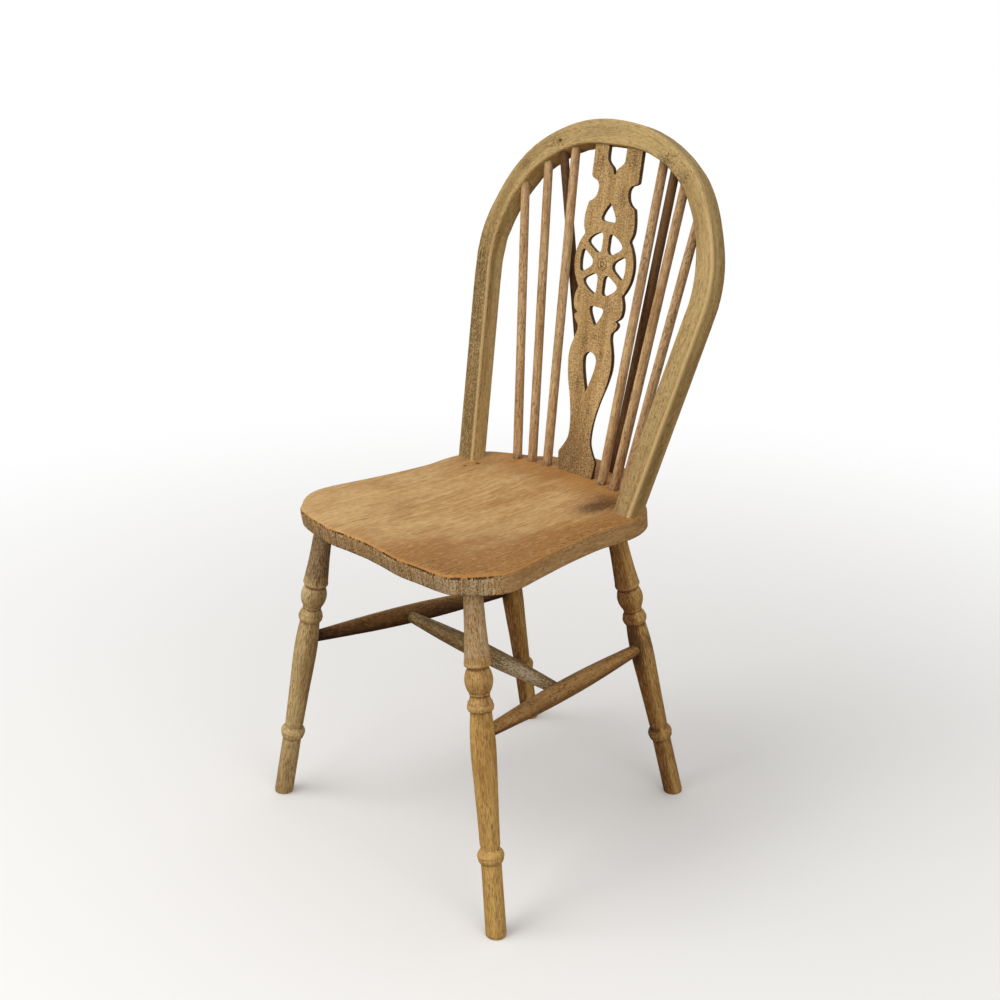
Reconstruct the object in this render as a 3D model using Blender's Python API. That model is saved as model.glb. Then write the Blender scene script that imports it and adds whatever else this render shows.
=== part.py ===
import math

import bmesh
import bpy
import numpy as np
from mathutils import Euler, Matrix, Vector
from mathutils.geometry import tessellate_polygon

# The chair stands on z = 0 and faces -Y. Sizes are in metres.
SEAT_TOP = 0.440
SEAT_THICK = 0.025
SEAT_UNDER = SEAT_TOP - SEAT_THICK
FIT = 0.0003  # clearance between a piece and what it sits in
CENTRE_Y = 0.0130  # from the line the plan is drawn on to the middle of the whole chair

# Seat plan, right half, from the middle of the front edge round to the tail
SEAT_PLAN = (
    (0.000, -0.2285), (0.035, -0.2305), (0.065, -0.2330), (0.100, -0.2300), (0.128, -0.2276),
    (0.146, -0.2227), (0.160, -0.2080), (0.173, -0.1900), (0.1815, -0.1690), (0.1822, -0.1450),
    (0.1760, -0.1080), (0.1685, -0.0620), (0.1638, -0.0200), (0.1625, 0.0080), (0.1655, 0.0420),
    (0.1620, 0.0740), (0.1480, 0.1025), (0.1200, 0.1220), (0.0900, 0.1378), (0.0730, 0.1540),
)
TAIL_PLAN = ((0.0730, 0.1540), (0.0540, 0.1610), (0.0400, 0.1710), (0.0300, 0.1915))
SEAT_MIDDLE = (0.0, -0.030)
DISH_DEPTH = 0.006
DISH_BACK = 0.110  # the dish fades out before the sticks
SEAT_RIM = 0.0045
FRONT_UNDERCUT = 0.005
SIDE_FLARE = 0.0035  # the sides lean out toward the underside
WORN_CORNER = (-0.150, -0.222)
CORNER_LOSS = 0.0055  # the left front corner is rubbed back

# Legs: axis at the underside of the seat and on the floor, right side
FRONT_LEG = ((0.1408, -0.1814), (0.2186, -0.2157))
REAR_LEG = ((0.1102, 0.0821), (0.1443, 0.1817))
LEG_TENON = 0.017
LEG_SIDES = 20
TURNING_HEIGHT = 0.4148  # the height that the turnings below are measured on
FOOT_R = 0.0125
SHANK_R = 0.0122
COLLAR_R = 0.0158
SWELL_R = 0.0151
RING_R = 0.01525
GROOVE_R = 0.0110
BALL_R = 0.0165
COVE_R = 0.01335
CONE_R = 0.01575
NECK_R = 0.01125

# Stretchers
SIDE_STRETCHER_Z = (0.2414, 0.2304)  # at the front leg and at the rear leg
SIDE_STRETCHER_R = (0.0077, 0.0110)  # end and middle
CROSS_SHARE = 0.466  # place along the side stretchers
CROSS_STRETCHER_R = (0.0074, 0.0123)
CROSS_BURY = 0.0095
STRETCHER_SIDES = 16

# Bow: its front face leans back from a line on the seat
BOW_LINE_Y = 0.0569
BOW_LEAN = math.radians(15.88)
BOW_DEPTH = 0.022
BOW_ROUND = 0.0042
HOOP_RISE = 0.2715  # from the seat to the hoop's centre, up the face
HOOP_ANGLES = (0, 15, 30, 45, 65, 90, 99.4)
HOOP_RADII = (0.1839, 0.1869, 0.1909, 0.1937, 0.1920, 0.1882, 0.1860)
HOOP_WIDTHS = (0.0315, 0.0285, 0.0246, 0.0245, 0.0242, 0.0245, 0.0250)
BOW_FOOT_X = 0.1435
BOW_FOOT_WIDTH = 0.0255
BOW_SHOULDER = 0.0030
BOW_TENON = 0.016

# Sticks and braces: feet on the seat, tops on the middle of the bow's depth (x, rise up the face)
STICK_R = (0.00525, 0.0048)
STICK_SIDES = 12
STICK_NAMES = ("inner", "middle", "outer")
STICK_FEET = ((0.0510, 0.1218), (0.0764, 0.1184), (0.0985, 0.1115))
STICK_TOPS = ((0.0755, 0.4255), (0.1165, 0.4020), (0.1490, 0.3620))
STICK_DRIFT = (0.0065, 0.0032, 0.0005)  # the back has racked to the right
BRACE_FOOT = (0.0185, 0.1680)
BRACE_TOP = (0.0975, 0.4140)
BRACE_DRIFT = (0.0115, 0.0035)
STICK_SOCKET = 0.014

# Splat, sizes of its face in millimetres: (half width, rise) from the horn down to the foot
SPLAT_LINE_Y = 0.1215
HORN_SET = 0.0026  # from the bow's front face back to the splat's, at the crown
HORN_SHORT = 5.5  # from the crown's centre-line down to the ends of the horns
SPLAT_RACK = math.atan(0.018)
SPLAT_THICK = 0.0068
SPLAT_TENON = 0.014
HORN = (15.3, 41.6)
SPLAT_HEIGHT = 437.0  # the height that the rises below are measured on
STEM = (51.0, 99.5)  # the plain stretch that takes up any other height
WHEEL_RISE = 278.0
WHEEL_R = 52.5
WHEEL_HOLE_R = (17.0, 39.5)
SPOKE_HALF = 5.8
HOLE_CORNER = 4.0
LEFT_LOSS = 3.2  # the board is narrower on its left above the waist
HUB_R = 7.0
HUB_HEIGHT = 0.8
HORN_STEP = ((41.5, 384.5), (36.0, 381.6), (31.3, 380.5))
BITE = ((31.3, 380.5), (27.8, 376.0), (27.0, 371.5), (27.8, 365.0), (30.6, 359.6), (35.2, 355.4), (40.6, 353.0))
UPPER_LOBE = ((40.6, 353.0), (43.2, 343.0), (44.7, 331.0), (43.9, 321.0), (40.0, 313.0))
LOWER_LOBE = ((40.0, 243.0), (43.9, 233.0), (44.4, 224.0), (42.0, 216.0), (34.0, 210.0))
BUMP = ((34.0, 210.0), (38.3, 208.8), (39.5, 205.6), (36.5, 200.0), (30.8, 195.0))
WAIST = (
    (30.8, 195.0), (30.6, 187.0), (34.0, 176.0), (37.4, 163.0), (38.0, 148.0),
    (34.0, 124.0), (26.4, 99.5), (20.6, 73.5), (19.5, 51.0), (23.4, 39.0), (34.0, 23.0),
)
FOOT_HALF = 30.5
KEY_SLOT = ((15.3, 410.0), (13.8, 403.5), (9.0, 397.3), (4.2, 392.4), (0.0, 391.0))
UPPER_DROP = ((0.0, 356.0), (4.2, 350.5), (9.4, 343.0), (12.4, 336.2), (11.8, 332.6), (8.0, 331.5), (0.0, 331.5))
LOWER_DROP = ((0.0, 198.0), (4.2, 203.5), (9.2, 211.0), (12.0, 218.0), (11.4, 221.8), (7.8, 223.0), (0.0, 223.0))
ALMOND = ((0.0, 164.5), (6.4, 162.4), (10.6, 157.8), (11.5, 152.5), (10.0, 141.5), (5.4, 125.5), (0.0, 110.7))

for old in list(bpy.data.objects):
    bpy.data.objects.remove(old, do_unlink=True)

scene = bpy.context.scene
chair = bpy.data.objects.new("chair", None)
chair.location = (0, CENTRE_Y, 0)
scene.collection.objects.link(chair)


def wood(name, colour, roughness):
    """A Principled material of its own for one kind of piece."""
    made = bpy.data.materials.new(name)
    made.use_nodes = True
    shader = made.node_tree.nodes["Principled BSDF"]
    shader.inputs["Base Color"].default_value = (*colour, 1)
    shader.inputs["Roughness"].default_value = roughness
    shader.inputs["Metallic"].default_value = 0.0
    return made


seat_wood = wood("seat_wood", (0.46, 0.30, 0.14), 0.72)
bow_wood = wood("bow_wood", (0.36, 0.25, 0.13), 0.72)
splat_wood = wood("splat_wood", (0.36, 0.22, 0.09), 0.75)
stick_wood = wood("stick_wood", (0.31, 0.19, 0.10), 0.75)
brace_wood = wood("brace_wood", (0.24, 0.15, 0.08), 0.78)
leg_wood = wood("leg_wood", (0.44, 0.27, 0.11), 0.70)
stretcher_wood = wood("stretcher_wood", (0.40, 0.25, 0.12), 0.72)


def through(points, each=3):
    """A smooth line through the points, with this many steps from one to the next."""
    p = np.array(points, float)
    padded = np.vstack([2 * p[0] - p[1], p, 2 * p[-1] - p[-2]])
    t = np.linspace(0, 1, each, endpoint=False)[:, None]
    runs = []
    for a, b, c, d in zip(padded, padded[1:], padded[2:], padded[3:]):
        runs.append(b + 0.5 * t * (c - a + t * (2 * a - 5 * b + 4 * c - d + t * (3 * b - a - 3 * c + d))))
    return np.vstack(runs + [p[-1:]])


def arc(middle, radius, first, last, steps):
    """Points round an arc, angles in degrees clockwise from straight up."""
    turn = np.radians(np.linspace(first, last, steps + 1))
    return np.array(middle) + radius * np.column_stack([np.sin(turn), np.cos(turn)])


def eased(knots, values, at):
    """Values between knots, level at each end and smooth in between."""
    knots, values = np.array(knots, float), np.array(values, float)
    slopes = np.gradient(values, knots)
    slopes[[0, -1]] = 0
    i = np.clip(np.searchsorted(knots, at, side="right") - 1, 0, len(knots) - 2)
    span = knots[i + 1] - knots[i]
    t = (at - knots[i]) / span
    rise = values[i + 1] - values[i]
    bend = slopes[i] * span
    catch = slopes[i + 1] * span
    return values[i] + t * (bend + t * (3 * rise - 2 * bend - catch + t * (bend + catch - 2 * rise)))


def piece(name, verts, faces, material, smooth=True, parent=chair):
    """A named object from vertices and faces, its normals facing outward."""
    mesh = bpy.data.meshes.new(name)
    mesh.from_pydata([tuple(v) for v in verts], [], faces)
    shape = bmesh.new()
    shape.from_mesh(mesh)
    bmesh.ops.recalc_face_normals(shape, faces=shape.faces)
    shape.to_mesh(mesh)
    shape.free()
    if smooth:
        mesh.shade_smooth()
        mesh.set_sharp_from_angle(angle=math.radians(38))
    if material:
        mesh.materials.append(material)
    made = bpy.data.objects.new(name, mesh)
    made.parent = parent
    scene.collection.objects.link(made)
    return made


def tube(name, rings, material, smooth=True, parent=chair):
    """A closed body through rings of equal count, with a flat cap at each end."""
    rings = np.array(rings, float)
    count, sides = rings.shape[:2]
    faces = [tuple(range(sides)), tuple(range((count - 1) * sides, count * sides))]
    for row in range(count - 1):
        for side in range(sides):
            after = (side + 1) % sides
            low, high = row * sides, (row + 1) * sides
            faces.append((low + side, low + after, high + after, high + side))
    return piece(name, rings.reshape(-1, 3), faces, material, smooth, parent)


def turned_rings(profile, sides):
    """Rings round local Z from (height, radius) rows."""
    turn = np.linspace(0, 2 * math.pi, sides, endpoint=False)
    ring = np.column_stack([np.cos(turn), np.sin(turn)])
    return np.array([np.column_stack([radius * ring, np.full(sides, height)]) for height, radius in profile])


def point_along(thing, start, end):
    """Stands the object at the start with its Z toward the end, and gives the length."""
    reach = Vector(end) - Vector(start)
    thing.location = start
    thing.rotation_euler = (0, math.acos(reach.z / reach.length), math.atan2(reach.y, reach.x))
    return reach.length


def sockets(target):
    """A hidden collection of cutters, taken out of the target by one Boolean."""
    group = bpy.data.collections.new(target.name + "_sockets")
    scene.collection.children.link(group)
    taken = target.modifiers.new("sockets", "BOOLEAN")
    taken.operation = "DIFFERENCE"
    taken.solver = "EXACT"
    taken.operand_type = "COLLECTION"
    taken.collection = group
    return group


def add_cutter(group, cutter):
    cutter.hide_render = True
    cutter.display_type = "WIRE"
    scene.collection.objects.unlink(cutter)
    group.objects.link(cutter)


def drill(group, name, start, end, radius, sides):
    """A round socket from outside the work at the start to its bottom at the end."""
    length = (Vector(end) - Vector(start)).length
    cutter = tube(name, turned_rings(((0, radius), (length, radius)), sides), None)
    point_along(cutter, start, end)
    add_cutter(group, cutter)


def beyond(start, end, extra):
    """The point this far past the end, on the line from the start."""
    reach = Vector(end) - Vector(start)
    return Vector(end) + reach.normalized() * extra


def at_height(start, end, z):
    start, end = Vector(start), Vector(end)
    return start.lerp(end, (z - start.z) / (end.z - start.z))


# Seat: the plan scaled inward for the dished top, set in along its edge for the rim
half_plan = np.vstack([through(SEAT_PLAN, 2)[:-1], through(TAIL_PLAN, 3)])
left_plan = half_plan[:0:-1] * (-1, 1)
near_corner = np.exp(-(((left_plan - WORN_CORNER) / 0.035) ** 2).sum(axis=1))
left_plan += CORNER_LOSS * near_corner[:, None] * (0.67, 0.74)
plan = np.vstack([half_plan, left_plan])
middle = np.array(SEAT_MIDDLE)
ahead = np.roll(plan, -1, axis=0) - plan
ahead /= np.linalg.norm(ahead, axis=1)[:, None]
along = ahead + np.roll(ahead, 1, axis=0)
along /= np.linalg.norm(along, axis=1)[:, None]
inward = np.column_stack([-along[:, 1], along[:, 0]])


def dish(xy):
    """How far the top sinks: a bowl that is level at the rim and again toward the back."""
    out = np.linalg.norm((xy - (0, -0.065)) / (0.165, 0.150), axis=-1)
    bowl = np.cos(np.clip(out, 0, 1) * math.pi / 2) ** 1.5
    back = np.clip((DISH_BACK - xy[..., 1]) / 0.08, 0, 1)
    return DISH_DEPTH * bowl * back * back * (3 - 2 * back)


undercut = FRONT_UNDERCUT * np.clip((-0.17 - plan[:, 1]) / 0.05, 0, 1) - SIDE_FLARE * inward[:, 0] ** 2
rim = (
    (SEAT_RIM, 0), (0.45 * SEAT_RIM, 0.10 * SEAT_RIM), (0.1 * SEAT_RIM, 0.42 * SEAT_RIM), (0, SEAT_RIM),
    (0, 0.75 * SEAT_THICK), (0.0008, SEAT_THICK - 0.0012), (0.0022, SEAT_THICK),
)
rows = []
for share in (0.2, 0.4, 0.58, 0.74, 0.87):
    ring = middle + share * (plan - middle)
    rows.append(np.column_stack([ring, SEAT_TOP - dish(ring)]))
for inset, drop in rim:
    ring = plan + inward * (inset + undercut * drop / SEAT_THICK)[:, None]
    rows.append(np.column_stack([ring, np.full(len(plan), SEAT_TOP - drop)]))
around = len(plan)
seat_verts = np.vstack(rows + [[(*middle, SEAT_TOP - dish(middle))]])
seat_faces = [tuple(range((len(rows) - 1) * around, len(rows) * around))]
for row in range(len(rows) - 1):
    for side in range(around):
        after = (side + 1) % around
        near, far = row * around, (row + 1) * around
        seat_faces.append((near + side, near + after, far + after, far + side))
for side in range(around):
    seat_faces.append((len(rows) * around, (side + 1) % around, side))
seat = piece("seat", seat_verts, seat_faces, seat_wood)
seat_sockets = sockets(seat)

# Bow: a hoop with straight legs, swept with a rounded section and tenoned into the seat
bow_frame = bpy.data.objects.new("bow_frame", None)
bow_frame.parent = chair
bow_frame.location = (0, BOW_LINE_Y, SEAT_TOP)
bow_frame.rotation_euler = (-BOW_LEAN, 0, 0)
scene.collection.objects.link(bow_frame)
on_bow = Matrix.Translation(bow_frame.location) @ Euler(bow_frame.rotation_euler).to_matrix().to_4x4()


def hoop(turn):
    """Centre-line point (x, rise) at this angle in degrees from the crown."""
    radius = eased(HOOP_ANGLES, HOOP_RADII, np.abs(turn))
    angle = np.radians(turn)
    return np.column_stack([radius * np.sin(angle), HOOP_RISE + radius * np.cos(angle)])


def bow_section(width):
    """The rounded section, as (outward, back) points round it."""
    corners = ((1, 1, 0), (1, -1, 90), (-1, -1, 180), (-1, 1, 270))
    points = []
    for out, back, first in corners:
        centre = (out * (width / 2 - BOW_ROUND), BOW_DEPTH / 2 + back * (BOW_DEPTH / 2 - BOW_ROUND))
        points.append(arc(centre, BOW_ROUND, first, first + 90, 2))
    return np.vstack(points)


def swept(line, widths):
    """Sections square across the line, which runs clockwise round the hoop."""
    ahead = np.gradient(line, axis=0)
    ahead /= np.linalg.norm(ahead, axis=1)[:, None]
    rings = []
    for point, way, width in zip(line, ahead, widths):
        section = bow_section(width)
        rings.append(np.column_stack([
            point[0] - way[1] * section[:, 0], section[:, 1], point[1] + way[0] * section[:, 0],
        ]))
    return np.array(rings)


turns = np.concatenate([[-HOOP_ANGLES[-1]], np.linspace(-95, 95, 49), [HOOP_ANGLES[-1]]])
arch = hoop(turns)
arch_widths = eased(HOOP_ANGLES, HOOP_WIDTHS, np.abs(turns))
leg_shares = np.array([0.72, 0.44, 0.18])[:, None]
leg_right = arch[-1] + (1 - leg_shares) * ((BOW_FOOT_X, 0) - arch[-1])
leg_widths = arch_widths[-1] + (1 - leg_shares[:, 0]) * (BOW_FOOT_WIDTH - arch_widths[-1])
line = np.vstack([leg_right[::-1] * (-1, 1), arch, leg_right])
bow_rings = swept(line, np.concatenate([leg_widths[::-1], arch_widths, leg_widths]))


def bow_foot(side):
    """The level foot loop, then the tenon's loops; the way the leg runs down; the socket's loops."""
    down = np.array([side * (BOW_FOOT_X - arch[-1][0]), 0.0, -arch[-1][1]])
    down /= np.linalg.norm(down)
    section = bow_section(BOW_FOOT_WIDTH)
    across = np.column_stack([-down[2] * section[:, 0], section[:, 1], down[0] * section[:, 0]])
    if side < 0:
        across = np.column_stack([down[2] * section[:, 0], section[:, 1], -down[0] * section[:, 0]])
    across += (side * BOW_FOOT_X, 0, 0)
    up = np.array(on_bow.to_3x3().inverted() @ Vector((0, 0, 1)))
    reach = FIT - across @ up
    loop = across + np.outer(reach / (down @ up), down)
    centre = loop.mean(axis=0)
    half = np.abs(loop - centre).max(axis=0)[[0, 1, 1]]
    tenon = centre + (loop - centre) * (1 - BOW_SHOULDER / half)
    socket = centre + (loop - centre) * (1 - (BOW_SHOULDER - FIT) / half)
    return loop, tenon, down, socket


bow_loops = {side: bow_foot(side) for side in (-1, 1)}
left_loop, left_tenon, left_down, _ = bow_loops[-1]
right_loop, right_tenon, right_down, _ = bow_loops[1]
bow_rings = [
    left_tenon + BOW_TENON * left_down, left_tenon, left_loop, *bow_rings,
    right_loop, right_tenon, right_tenon + BOW_TENON * right_down,
]
bow = tube("bow", bow_rings, bow_wood, parent=bow_frame)
bow_sockets = sockets(bow)
for side, name in ((-1, "left"), (1, "right")):
    _, _, down, socket = bow_loops[side]
    rings = [socket - 0.004 * down, socket + (BOW_TENON + FIT) * down]
    add_cutter(seat_sockets, tube("bow_socket_" + name, rings, None, parent=bow_frame))


def bow_point(x, rise, back=BOW_DEPTH / 2):
    """A point of the bow's own frame, in the chair's."""
    return on_bow @ Vector((x, back, rise))


def to_hoop(foot, top):
    """Where the line from the foot past the top meets the bow's centre-line."""
    inside = on_bow.inverted()
    low, high = 0.8, 1.3
    for _ in range(40):
        share = (low + high) / 2
        at = inside @ foot.lerp(top, share)
        radius = math.hypot(at.x, at.z - HOOP_RISE)
        turn = abs(math.degrees(math.atan2(at.x, at.z - HOOP_RISE)))
        if radius < eased(HOOP_ANGLES, HOOP_RADII, turn):
            low = share
        else:
            high = share
    return foot.lerp(top, low)


# Sticks and braces
def stick(name, foot, top, material):
    """A tapering round rod, blind in the seat and in the bow."""
    tip = to_hoop(foot, top)
    bottom = beyond(tip, foot, STICK_SOCKET - FIT)
    length = (tip - bottom).length
    rows = [(share * length, STICK_R[0] + share * (STICK_R[1] - STICK_R[0])) for share in (0, 0.34, 0.67, 1)]
    made = tube(name, turned_rings(rows, STICK_SIDES), material)
    point_along(made, bottom, tip)
    radius = STICK_R[0] + FIT
    drill(seat_sockets, name + "_foot_socket", beyond(bottom, foot, 0.006), beyond(tip, foot, STICK_SOCKET),
          radius, STICK_SIDES)
    drill(bow_sockets, name + "_top_socket", beyond(foot, tip, -0.045), beyond(foot, tip, FIT),
          radius, STICK_SIDES)


for side, name in ((-1, "left"), (1, "right")):
    for which, foot, top, drift in zip(STICK_NAMES, STICK_FEET, STICK_TOPS, STICK_DRIFT):
        stick(f"stick_{name}_{which}", Vector((side * foot[0], foot[1], SEAT_TOP)),
              bow_point(side * top[0] + drift, top[1]), stick_wood)
    stick(f"brace_{name}", Vector((side * BRACE_FOOT[0], BRACE_FOOT[1], SEAT_TOP)),
          bow_point(side * BRACE_TOP[0] + BRACE_DRIFT[side > 0], BRACE_TOP[1]), brace_wood)

# Splat: its lean and height follow the crown of the bow
MM = 0.001
crown = on_bow @ Vector((0, 0, HOOP_RISE + HOOP_RADII[0]))
SPLAT_LEAN = math.atan((crown.y + HORN_SET - SPLAT_LINE_Y) / (crown.z - SEAT_TOP))
HORN_TOP = (crown.z - SEAT_TOP) / math.cos(SPLAT_LEAN) / MM - HORN_SHORT


def lifted(loop):
    """The loop with everything above the stem raised to suit the height of the horns."""
    loop = np.array(loop, float)
    share = np.clip((loop[:, 1] - STEM[0]) / (STEM[1] - STEM[0]), 0, 1)
    loop[:, 1] += share * (HORN_TOP - SPLAT_HEIGHT)
    return loop


def mirrored(half):
    """A closed loop from its right half, given from the middle line round to the middle line."""
    half = np.array(half, float)
    other = half[::-1] * (-1, 1)
    if abs(half[0, 0]) < 1e-9:
        other = other[:-1]
    if abs(half[-1, 0]) < 1e-9:
        other = other[1:]
    return np.vstack([half, other])


def rounded(corners, radius):
    """Corners eased by a short curve. A point given with False stays as it is."""
    points = []
    for i, (x, y, ease) in enumerate(corners):
        here = np.array((x, y))
        if not ease:
            points.append(here)
            continue
        before, after = (np.array(corners[j % len(corners)][:2]) for j in (i - 1, i + 1))
        start = here + (before - here) * min(0.45, radius / np.linalg.norm(before - here))
        end = here + (after - here) * min(0.45, radius / np.linalg.norm(after - here))
        for t in (0, 0.33, 0.67, 1):
            points.append((1 - t) ** 2 * start + 2 * t * (1 - t) * here + t * t * end)
    return np.array(points)


def wheel_hole(turn):
    """One opening between two spokes: straight beside them, round inside and out."""
    inner, outer = WHEEL_HOLE_R
    inner_half = 30 - math.degrees(math.asin(SPOKE_HALF / inner))
    outer_half = 30 - math.degrees(math.asin(SPOKE_HALF / outer))
    centre = (0, WHEEL_RISE)
    corners = []
    for radius, angle, ease in (
        (outer, -outer_half, True), (outer, -outer_half / 3, False), (outer, outer_half / 3, False),
        (outer, outer_half, True), (inner, inner_half, True), (inner, -inner_half, True),
    ):
        x, y = arc(centre, radius, turn + angle, turn + angle, 1)[0]
        corners.append((x, y, ease))
    return rounded(corners, HOLE_CORNER)


rim_half = math.degrees(math.asin(UPPER_LOBE[-1][0] / WHEEL_R))
right_half = np.vstack([
    [(HORN[1], SPLAT_HEIGHT)],
    through(HORN_STEP, 1),
    through(BITE, 2)[1:],
    through(UPPER_LOBE, 2)[1:-1],
    arc((0, WHEEL_RISE), WHEEL_R, rim_half, 180 - rim_half, 9),
    through(LOWER_LOBE, 2)[1:],
    through(BUMP, 2)[1:],
    through(WAIST, 2)[1:],
    [(FOOT_HALF, 0.0), (FOOT_HALF, -SPLAT_TENON / MM)],
])
key_slot = np.vstack([through(KEY_SLOT[::-1], 2), [(HORN[0], SPLAT_HEIGHT)]])
outline = mirrored(np.vstack([key_slot, right_half]))
edge = outline[:, 0] < -HORN[0] - 5
outline[edge, 0] += LEFT_LOSS * np.clip((outline[edge, 1] - 150) / 70, 0, 1)
holes = [mirrored(through(shape, 2)) for shape in (UPPER_DROP, LOWER_DROP, ALMOND)]
holes += [wheel_hole(turn) for turn in range(30, 360, 60)]


def fretwork(name, loops, thick, material, parent):
    """A flat board with openings: the first loop is its outline. Its front face is at local z = 0."""
    verts, faces = [], []
    flat = [[Vector((x * MM, y * MM, 0)) for x, y in loop] for loop in loops]
    for z in (0, -thick):
        verts += [(v.x, v.y, z) for loop in flat for v in loop]
    half = len(verts) // 2
    for tri in tessellate_polygon(flat):
        faces += [tuple(tri), tuple(half + i for i in tri)]
    start = 0
    for loop in flat:
        for i in range(len(loop)):
            a, b = start + i, start + (i + 1) % len(loop)
            faces.append((a, b, half + b, half + a))
        start += len(loop)
    return piece(name, verts, faces, material, parent=parent)


splat_frame = bpy.data.objects.new("splat_frame", None)
splat_frame.parent = chair
splat_frame.location = (0, SPLAT_LINE_Y, SEAT_TOP)
splat_frame.rotation_euler = (math.pi / 2 - SPLAT_LEAN, SPLAT_RACK, 0)
scene.collection.objects.link(splat_frame)
splat = fretwork("splat", [lifted(loop) for loop in (outline, *holes)], SPLAT_THICK, splat_wood, splat_frame)

hub = tube("hub_boss", turned_rings(
    ((-0.002, HUB_R * MM), (0.6 * HUB_HEIGHT * MM, HUB_R * MM), (HUB_HEIGHT * MM, 0.8 * HUB_R * MM)), 16,
), None, parent=splat_frame)
hub.location = (0, lifted([(0, WHEEL_RISE)])[0, 1] * MM, 0)
hub.hide_render = True
hub.display_type = "WIRE"
raised = splat.modifiers.new("hub", "BOOLEAN")
raised.operation = "UNION"
raised.solver = "EXACT"
raised.object = hub


def block(name, low, high, parent):
    """A box between two corners."""
    corners = [(x, y, z) for x in (low[0], high[0]) for y in (low[1], high[1]) for z in (low[2], high[2])]
    sides = [(0, 1, 3, 2), (4, 6, 7, 5), (0, 4, 5, 1), (2, 3, 7, 6), (0, 2, 6, 4), (1, 5, 7, 3)]
    return piece(name, corners, sides, None, smooth=False, parent=parent)


for side, name in ((-1, "left"), (1, "right")):
    span = sorted((side * HORN[0] * MM, (side * HORN[1] + (side < 0) * LEFT_LOSS) * MM))
    mouth = (HORN_TOP - 37) * MM
    add_cutter(bow_sockets, block(
        f"horn_socket_{name}", (span[0] - FIT, mouth, -SPLAT_THICK - FIT), (span[1] + FIT, HORN_TOP * MM + FIT, FIT),
        splat_frame,
    ))
add_cutter(seat_sockets, block(
    "splat_foot_socket", (-FOOT_HALF * MM - FIT, -SPLAT_TENON - FIT, -SPLAT_THICK - FIT),
    (FOOT_HALF * MM + FIT, 0.003, FIT), splat_frame,
))

# Legs
def bead(low, high, edge, fullest, steps=4):
    """A round swelling between two heights."""
    rise = np.linspace(0, 1, steps + 1)
    return [(low + t * (high - low), edge + (fullest - edge) * math.sin(math.pi * t) ** 0.6) for t in rise]


leg_turning = [
    (0.0, FOOT_R), (0.0860, SHANK_R), *bead(0.0890, 0.1040, SHANK_R, COLLAR_R), (0.1080, 0.0120),
    (0.1570, 0.01325), (0.1880, 0.0142), (0.2100, SWELL_R - 0.0001), (0.2310, SWELL_R), (0.2480, 0.0144),
    (0.2635, 0.0130), (0.2700, 0.0130), (0.2725, 0.0146), (0.2770, RING_R), (0.2810, 0.0141), (0.2860, 0.0124),
    (0.2876, GROOVE_R), (0.2898, 0.0115), *bead(0.2921, 0.3188, COVE_R - 0.0008, BALL_R, 6), (0.3215, COVE_R),
    (0.3225, CONE_R - 0.0004), (0.3255, CONE_R), (0.3400, 0.0146), (0.3600, 0.0133), (0.3830, 0.01225),
    (0.4010, 0.0114), (TURNING_HEIGHT, NECK_R),
]
STRETCHER_ENDS = {}
for place, (top, foot) in (("front", FRONT_LEG), ("rear", REAR_LEG)):
    for side, name in ((-1, "left"), (1, "right")):
        start = Vector((side * foot[0], foot[1], 0))
        end = Vector((side * top[0], top[1], SEAT_UNDER))
        tip = beyond(start, end, LEG_TENON)
        length = (end - start).length
        rows = [(height * length / TURNING_HEIGHT, radius) for height, radius in leg_turning]
        rows.append(((tip - start).length, NECK_R))
        rings = turned_rings(rows, LEG_SIDES)
        tilt = math.acos((end - start).normalized().z)
        rings[0, :, 2] = math.tan(tilt) * rings[0, :, 0]
        leg = tube(f"leg_{place}_{name}", rings, leg_wood)
        point_along(leg, start, tip)
        drill(seat_sockets, leg.name + "_socket", at_height(start, end, SEAT_UNDER - 0.006),
              beyond(start, tip, FIT), NECK_R + FIT, LEG_SIDES)
        high = SIDE_STRETCHER_Z[place == "rear"]
        STRETCHER_ENDS[place, side] = (leg, at_height(start, end, high))


# Stretchers
def stretcher(name, start, end, radii, bury, first, last):
    """A rod that is fullest in the middle, its straight ends in sockets of the first and the last piece."""
    length = (end - start).length
    rows = [(0, radii[0])]
    for t in np.linspace(0, 1, 11):
        fullness = math.sin(math.pi * t) ** 0.85
        rows.append((bury + t * (length - 2 * bury), radii[0] + (radii[1] - radii[0]) * fullness))
    rows.append((length, radii[0]))
    made = tube(name, turned_rings(rows, STRETCHER_SIDES), stretcher_wood)
    point_along(made, start, end)
    for target, tip, toward in ((first, start, end), (last, end, start)):
        group = bpy.data.collections.get(target.name + "_sockets") or sockets(target)
        mouth = tip + (toward - tip).normalized() * 0.022
        drill(group, f"{name}_in_{target.name}", mouth, beyond(toward, tip, FIT), radii[0] + FIT, STRETCHER_SIDES)
    return made


side_rods = {}
for side, name in ((-1, "left"), (1, "right")):
    front_leg, front_end = STRETCHER_ENDS["front", side]
    rear_leg, rear_end = STRETCHER_ENDS["rear", side]
    rod = stretcher(f"stretcher_{name}", front_end, rear_end, SIDE_STRETCHER_R, SWELL_R, front_leg, rear_leg)
    side_rods[side] = (rod, front_end.lerp(rear_end, CROSS_SHARE))
left_rod, left_end = side_rods[-1]
right_rod, right_end = side_rods[1]
inset = SIDE_STRETCHER_R[1] - CROSS_BURY
stretcher("stretcher_cross", left_end + Vector((inset, 0, 0)), right_end - Vector((inset, 0, 0)),
          CROSS_STRETCHER_R, CROSS_BURY, left_rod, right_rod)
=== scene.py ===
import math
import bpy
import numpy as np
from mathutils import Euler, Matrix, Vector
from mathutils.geometry import delaunay_2d_cdt


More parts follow.
